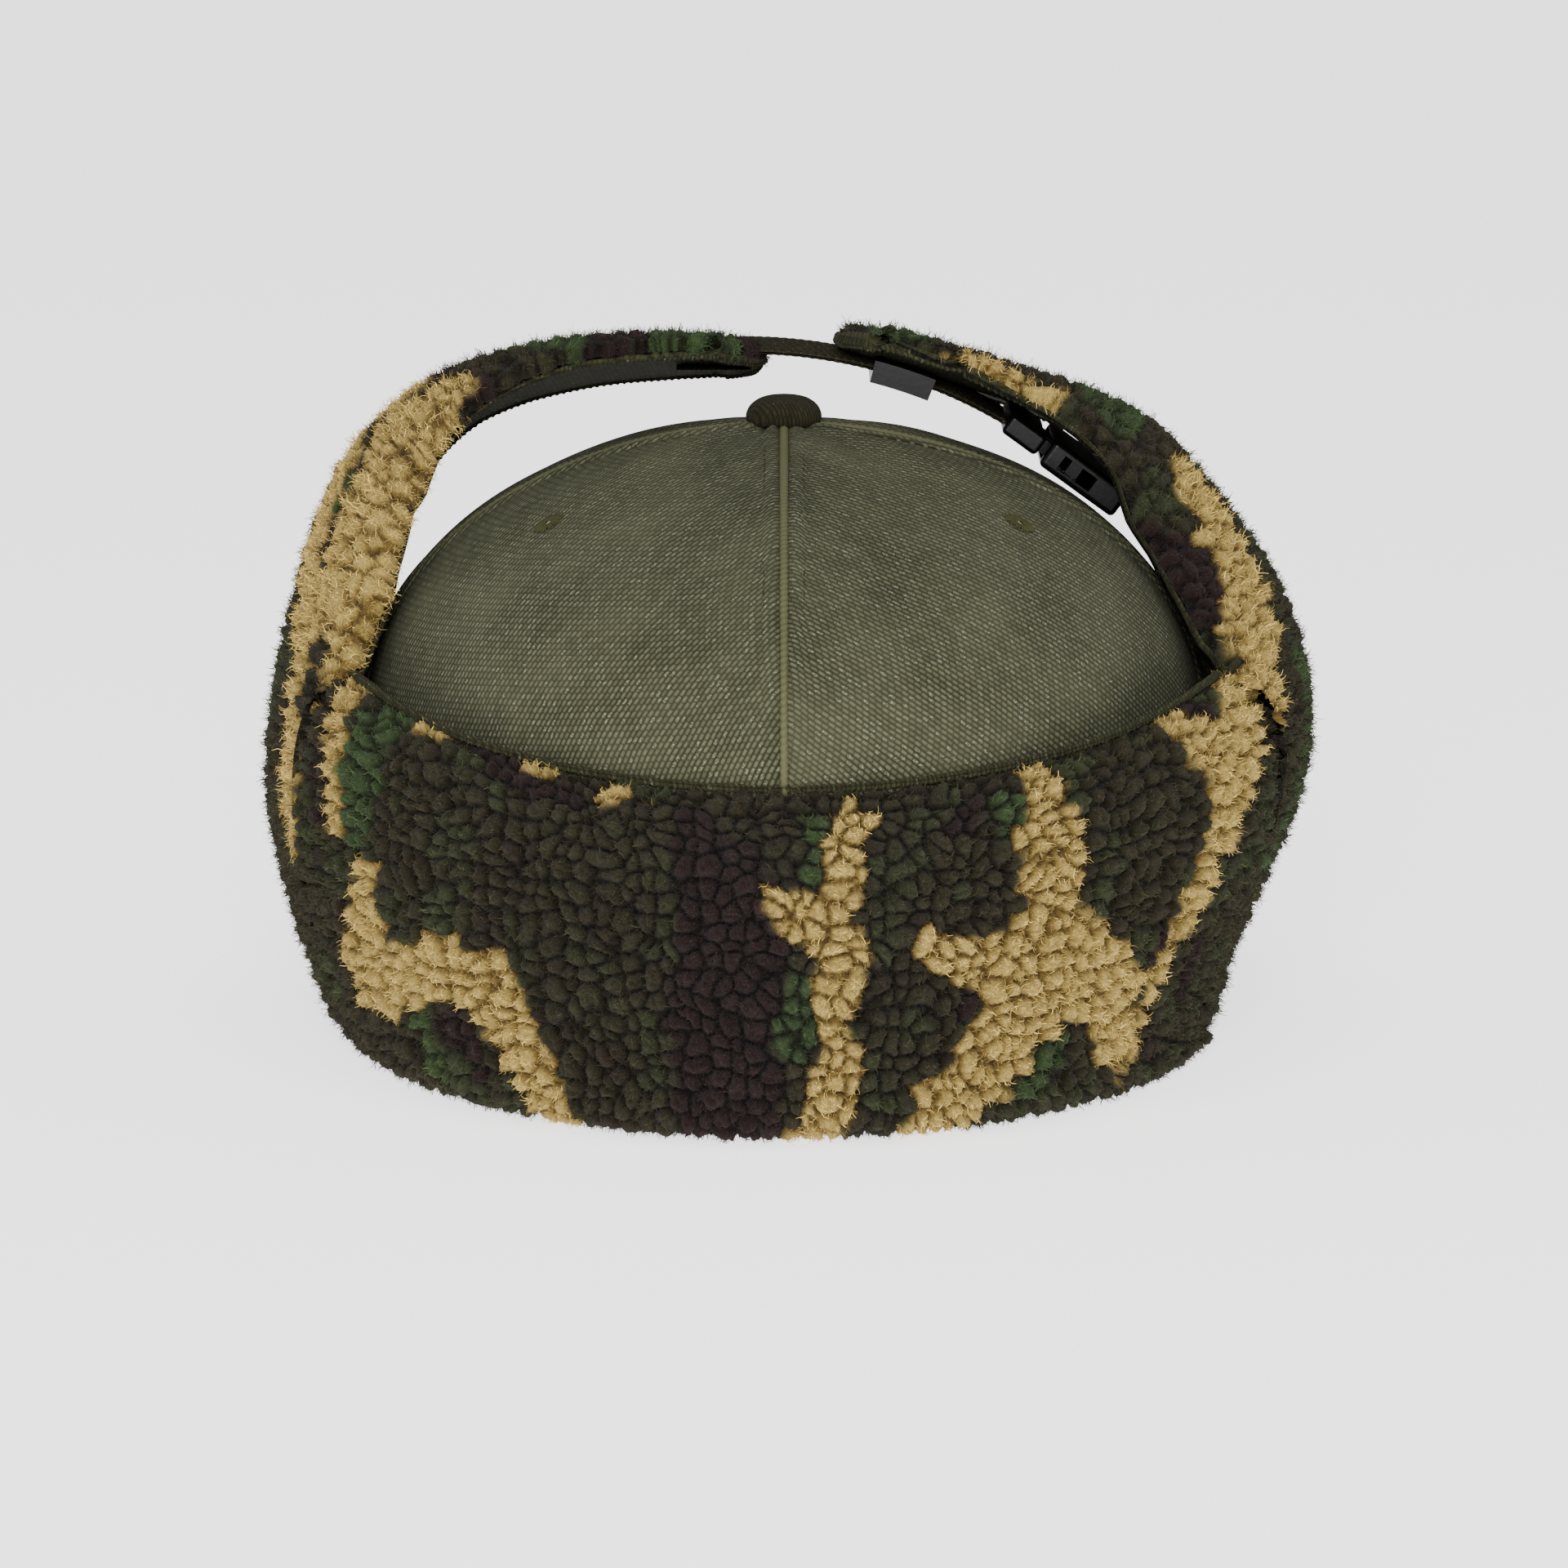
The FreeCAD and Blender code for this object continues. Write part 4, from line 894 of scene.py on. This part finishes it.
class Ear:
    """One ear flap; side is 1 for the wearer's left. l runs up it from the rim's underside."""

    def __init__(self, side):
        self.side = side
        self.path = Path(EAR_PROFILE[side])
        at = np.linspace(0, len(EAR_PROFILE[side]) - 1, len(self.path.run))
        self.start = np.interp(3.0, at, self.path.run)
        self.end = self.path.length - self.start

    def width(self, l):
        """Rear and front edges, as Y."""
        rear = np.interp(l, REAR_EDGE_AT + [self.end - TIP_ROUND, self.end], REAR_EDGE + [-5, -5])
        front = np.interp(l, [0, 150, self.end], [-56.5, -57, -55])
        along = np.clip((l - (self.end - TIP_ROUND)) / TIP_ROUND, 0, 1)
        narrow = np.sqrt(np.clip(1 - along ** 2.4, 0.0004, 1))
        middle = (rear + front) / 2
        return middle + (rear - middle) * narrow, middle + (front - middle) * narrow

    def face(self, l, y):
        """Outer face at rest."""
        flat = self.path(l + self.start)
        near = np.minimum(l, self.end - 0.6) + self.start
        ahead = self.path(near + 0.5) - self.path(near - 0.5)
        ahead /= np.linalg.norm(ahead, axis=-1, keepdims=True)
        x, z = flat[..., 0], flat[..., 1]
        ring = x * np.sqrt(1 - (y / RING) ** 2)
        rear_tuck = np.interp(l, [60, 80, 100, 125, 150, 175, 200], [7, 10, 17, 17.5, 9.5, 2.5, 0.5])
        front_tuck = np.interp(l, [60, 100, 150, 200], [13, 8, 3, 1.5])
        rear_y, _ = self.width(l)
        share_rear = np.clip((y + 10) / (rear_y + 10), 0, 1.1)
        share_front = np.clip((-10 - y) / 46, 0, 1.2)
        tuck = rear_tuck * share_rear ** 2 + front_tuck * share_front ** 2
        up = ramp(55, 92, l)
        x = ring * (1 - up) + (x - ahead[..., 1] * tuck) * up
        z = z + ahead[..., 0] * tuck * up
        rear_lean, front_lean = LEAN[self.side]
        back = (np.sqrt((y + 30.0) ** 2 + 30.0) + y + 30.0) / 2
        lean = (y + 30.0) * front_lean + back * (rear_lean - front_lean) * ramp(105, 150, l)
        z = z + lean * ramp(82, 126, l)
        return np.stack([self.side * x, y, z], -1)

    def grid(self, rows, theta_edge, columns):
        """Grid whose columns wrap both edges: theta 90 is the outer face and -90 the lining side."""
        edge = np.radians(np.linspace(theta_edge[0], theta_edge[1], 14))
        l = rows[:, None]
        thick = np.interp(rows, FLAP_THICK_AT, FLAP_THICK[self.side])[:, None]
        rear, front = self.width(rows)
        rear, front = rear[:, None], front[:, None]
        radius = np.minimum(thick / 2, 0.48 * (rear - front))
        soft_rear, soft_front = ramp(80, 92, l), ramp(-5, 3, l)
        drop = thick / 2 * (1 - np.sin(edge))[None, :]
        y_rear = rear - radius * (1 - np.cos(edge))[None, :] * soft_rear
        y_front = front + radius * (1 - np.cos(edge))[None, ::-1] * soft_front
        share = np.linspace(0, 1, columns + 2)[1:-1][None, :]
        y_flat = y_rear[:, -1:] * (1 - share) + y_front[:, :1] * share
        outer = theta_edge[1] > 45
        deep = 0 * thick if outer else thick
        depth = np.concatenate([drop * soft_rear + deep * (1 - soft_rear), deep + 0 * y_flat,
                                drop[:, ::-1] * soft_front + deep * (1 - soft_front)], 1)
        y = np.concatenate([y_rear, y_flat, y_front], 1)
        near_end = np.clip((self.end - l) / (thick / 2), 0, 1)
        round_end = thick / 2 * (1 - np.sqrt(1 - (1 - near_end) ** 2))
        depth = np.maximum(depth, round_end) if outer else np.minimum(depth, thick - round_end)
        l = l + 0 * y
        base = self.face(l, y)
        normal = np.cross(self.face(l, y + 0.5) - self.face(l, y - 0.5),
                          self.face(l + 0.5, y) - self.face(l - 0.5, y))
        normal *= self.side / np.linalg.norm(normal, axis=-1, keepdims=True)
        return base - normal * depth[..., None], y, l

    def piece(self, name, low, high, a, b, start, end):
        """One stretch of the flap, pile and lining; a, b, start and end go to hinge_blend."""
        spacing = 0.55 * FINE
        count = int((high - low) / spacing)
        rows = np.linspace(low, high, count)
        if high > self.end - 1:
            rounding = self.end - (self.end - low) * (1 - np.sin(np.linspace(0, math.pi / 2, count)))
            rows = 0.45 * rows + 0.55 * rounding
        split = -34 if self.side > 0 else 4          # where round the edge the pile meets the lining
        points, y, l = self.grid(rows, (split - 4, 90), int(84 / spacing))
        s = self.side * RING * np.arccos(np.clip(y / RING, -1, 1))
        outward = points * np.array([1, 0, 0.6]) - np.array([0, 0, 30.0])
        height = 2.7 * (0.45 + 0.55 * ramp(-2, 9, l)) * (1 - 0.35 * ramp(80, 120, l))
        rear, front = self.width(rows)
        lip = np.minimum(rear[:, None] - y, y - front[:, None])
        height = height * np.where(l > 84, 0.55 + 0.45 * ramp(0, 4, lip), 1.0)
        obj = pile_piece(name + "_curls", points, outward, s, l, height, streak=0.55)
        hinge_blend(obj, a, b, start, end)
        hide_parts(name + "_pile", name + "_lining")

        rows = rows[rows > 1]
        rows = rows[::2]
        points, y, l = self.grid(rows, (-90, split + 2), int(84 / 1.2))
        _, flip = grid_normals(points, np.array([0, 0, 30.0]) - points * np.array([1, 0, 0.6]))
        parts = [(points.reshape(-1, 3), grid_quads(*points.shape[:2], flip))]
        cloths = [cloth_at(y, l).reshape(-1, 3)]
        for column, from_l in ((3, 86), (-4, 16)):        # overlocked rear and front edges
            keep = rows > from_l
            if keep.sum() > 6:
                cord = tube(points[keep, column], 0.55, 0.3, pitch=1.5)
                parts.append(cord)
                cloths.append(cord[0])
        vertices, quads = join_parts(parts)
        lining = make_mesh(name + "_cloth", vertices, quads, [lining_cloth], cloth=np.vstack(cloths))
        hinge_blend(lining, a, b, start, end)
        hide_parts(name + "_lining")


def make_cuff():
    neck_piece("neck_middle", -CUT_MIDDLE, CUT_MIDDLE, ["rim_roll", "back_middle_pile", "back_middle_lining"])
    neck_piece("neck_left", CUT_MIDDLE - 0.006, CUT_EAR, ["back_left_pile", "back_left_lining"])
    neck_piece("neck_right", -CUT_EAR, -CUT_MIDDLE + 0.006, ["back_right_pile", "back_right_lining"])
    for side, word in ((1, "left"), (-1, "right")):
        ear = Ear(side)
        low, shoulder, tip = word + "_ear", word + "_shoulder", word + "_tip"
        ear.piece(low, -6.0, 64.0, "crown", low, (side * 97, -10, 2), (side * 97, -10, 17))
        ear.piece(shoulder, 62.5, 119.0, low, shoulder, (side * 107, -14, 66), (side * 97, -14, 106))
        ear.piece(tip, 117.5, ear.end, shoulder, tip, (side * 93, -25, 115), (side * 63, -25, 138))


# --- webbing and hardware ----------------------------------------------------------------------------
STRAP_Y, STRAP_THICK, STRAP_CORDS, STRAP_RELIEF = -30.0, 1.4, 11, 0.32


def strap(name, line, half_width, body, node):
    """Flat webbing along a line in the XZ plane, with woven cords along it as real relief."""
    path = Path(line)
    count = int(path.length / (0.3 * FINE))
    run = np.linspace(0, path.length, count)
    centre = path(run)
    ahead = np.gradient(centre, axis=0)
    ahead /= np.linalg.norm(ahead, axis=1, keepdims=True)
    normal = np.stack([-ahead[:, 1], ahead[:, 0]], -1)
    across = np.linspace(-1, 1, int(2 * half_width / (0.28 * FINE)))
    across, run = across[None, :], run[:, None]
    weave = np.abs(np.sin(across * STRAP_CORDS * math.pi / 2))
    lean = np.where(np.floor((across + 1) * STRAP_CORDS / 2) % 2 > 0, 1.0, -1.0)
    chevron = 0.5 + 0.5 * np.sin(2 * math.pi * (run / 1.8 + lean * across * 1.2))
    relief = STRAP_RELIEF * np.sqrt(weave) * (0.6 + 0.4 * chevron)
    faces, heights, cloths = [], [], []
    for sign in (1, -1):
        out = sign * (STRAP_THICK / 2 - STRAP_RELIEF + relief)
        out = out * np.clip((1 - np.abs(across)) * half_width / 0.5, 0.15, 1)
        points = np.stack([centre[:, :1] + normal[:, :1] * out, STRAP_Y + across * half_width + 0 * out,
                           centre[:, 1:] + normal[:, 1:] * out], -1)
        faces.append((points.reshape(-1, 3), grid_quads(*out.shape, sign > 0)))
        # the cords' relief is stored as depth, which drives the webbing's painted shade
        heights.append((relief / STRAP_RELIEF).ravel())
        cloths.append(cloth_at(across * half_width, run).reshape(-1, 3))
    points, quads = join_parts(faces)
    obj = make_mesh(name, points, quads, [webbing], depth=np.concatenate(heights), cloth=np.vstack(cloths))
    belongs(obj, body, "webbing", node)


def make_straps():
    centre_x, centre_z, radius = 8.34, 30.5, 109.0
    angles = np.radians(np.linspace(-7.0, 30.6, 12))
    arc = [(centre_x - radius * math.sin(a), centre_z + radius * math.cos(a)) for a in angles]
    strap("long_webbing", arc, 10.9, "left_tip", "chin_strap_long")
    low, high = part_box("chin_strap_short")
    loop = [(-72.2, 106.7), (-74.6, 105.0), (-76.6, 103.6), (-79.4, 102.8), (-82.6, 103.9), (-84.3, 106.8),
            (-84.0, 109.6), (-82.4, 111.7), (-79.5, 114.7), (-76.1, 118.2)]
    strap("short_webbing", loop, (high.y - low.y) / 2 / MM - 0.1, "right_shoulder", "chin_strap_short")
    for name, body in (("strap_patch_left", "left_tip"), ("strap_patch_right", "right_shoulder")):
        low, high = (np.array(v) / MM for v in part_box(name))
        flat = name.endswith("left")
        start_z, end_z = low[2] + 0.5, low[2] + 0.5 if flat else high[2] - 0.5
        share = np.linspace(0, 1, 40)[:, None]
        across = np.linspace(-10.6, 10.6, 60)[None, :]
        edge = np.minimum(np.minimum(share, 1 - share) * 14, 10.6 - np.abs(across))
        rise = 0.45 * np.sqrt(np.clip(edge / 1.5, 0, 1)) - 0.25 * np.exp(-((edge - 2.2) / 0.5) ** 2)
        x = low[0] * (1 - share) + high[0] * share + 0 * across
        z = start_z * (1 - share) + end_z * share - rise + (1.3 if flat else 0.0)
        points = np.stack([x, STRAP_Y + across + 0 * x, z], -1)
        obj = grid_mesh(name + "_cloth", points, not flat, lining_cloth, cloth_at(x, across))
        belongs(obj, body, "olive_lining", name)
    for node in ("strap_slider", "buckle_female", "buckle_male", "buckle_prong_rear", "buckle_prong_front"):
        dress(node, plastic)
    dress("button_rivet", metal)
    dress("visor_board", board)


def dress(node, material):
    """Give a CAD node that stays in view its material."""
    mesh = frame["nodes"][node].data
    if not mesh.materials:
        mesh.materials.append(material)
    for k in range(len(mesh.materials)):
        mesh.materials[k] = material


# --- stage -----------------------------------------------------------------------------------------
def make_stage():
    """Plain pale floor. When the flaps are let down below the rim, it sinks clear of the left tip."""
    side = 8000.0
    corners = np.array([(-side, -side, 0), (side, -side, 0), (side, side, 0), (-side, side, 0)], float)
    s = Shader("pale_floor", Roughness=0.9, Specular_IOR_Level=0.1)
    s.main.inputs["Base Color"].default_value = (0.9, 0.9, 0.9, 1)
    s.main.inputs["Emission Color"].default_value = WHITE
    s.main.inputs["Emission Strength"].default_value = 1.7
    floor = make_mesh("floor", corners, np.array([[0, 1, 2, 3]]), [s.material])
    body = frame["bodies"]["left_tip"]
    marker = bpy.data.objects.new("tip_marker", None)
    bpy.context.scene.collection.objects.link(marker)
    marker.parent = body
    marker.matrix_parent_inverse = body.matrix_world.inverted()
    marker.location = (0.0, -0.03, 0.14)
    sink = floor.constraints.new("TRANSFORM")
    sink.target = marker
    sink.from_min_z, sink.from_max_z = 0.0, 0.12
    sink.to_min_z, sink.to_max_z = -0.26, 0.0
    sink.map_to_x_from = sink.map_to_y_from = sink.map_to_z_from = "Z"


def area_light(name, place, target, size, power):
    light = bpy.data.lights.new(name, "AREA")
    light.shape = "RECTANGLE"
    light.size, light.size_y = size
    light.energy = power
    light.spread = math.pi
    obj = bpy.data.objects.new(name, light)
    bpy.context.scene.collection.objects.link(obj)
    obj.location = place
    look(obj, target)


def look(obj, target):
    """Turn a light or camera towards a target."""
    away = np.array(obj.location) - np.array(target)
    obj.rotation_mode = "QUATERNION"
    obj.rotation_quaternion = Vector(away).to_track_quat("Z", "Y")


def make_lights():
    area_light("key", (0.08, 1.8, 0.72), (0, 0, 0.07), (0.7, 0.5), 35.0)
    area_light("over", (0.0, 0.2, 1.5), (0, 0, 0.0), (0.7, 0.6), 4.5)
    world = bpy.data.worlds.new("world")
    bpy.context.scene.world = world
    world.use_nodes = True
    background = world.node_tree.nodes["Background"]
    background.inputs["Color"].default_value = WHITE
    background.inputs["Strength"].default_value = 0.6


CAMERA_TARGET, CAMERA_DISTANCE, CAMERA_RISE = (0, 0, 0.0494), 1.35, math.radians(11.6)


def make_camera():
    data = bpy.data.cameras.new("camera")
    data.sensor_width = 36.0
    data.lens = 145.5
    data.clip_start, data.clip_end = 0.05, 20.0
    camera = bpy.data.objects.new("camera", data)
    bpy.context.scene.collection.objects.link(camera)
    camera.location = (0, CAMERA_DISTANCE * math.cos(CAMERA_RISE),
                       CAMERA_TARGET[2] + CAMERA_DISTANCE * math.sin(CAMERA_RISE))
    look(camera, CAMERA_TARGET)
    bpy.context.scene.camera = camera


make_crown()
make_button()
make_inside()
make_visor()
make_cuff()
make_straps()
make_stage()
make_lights()
make_camera()
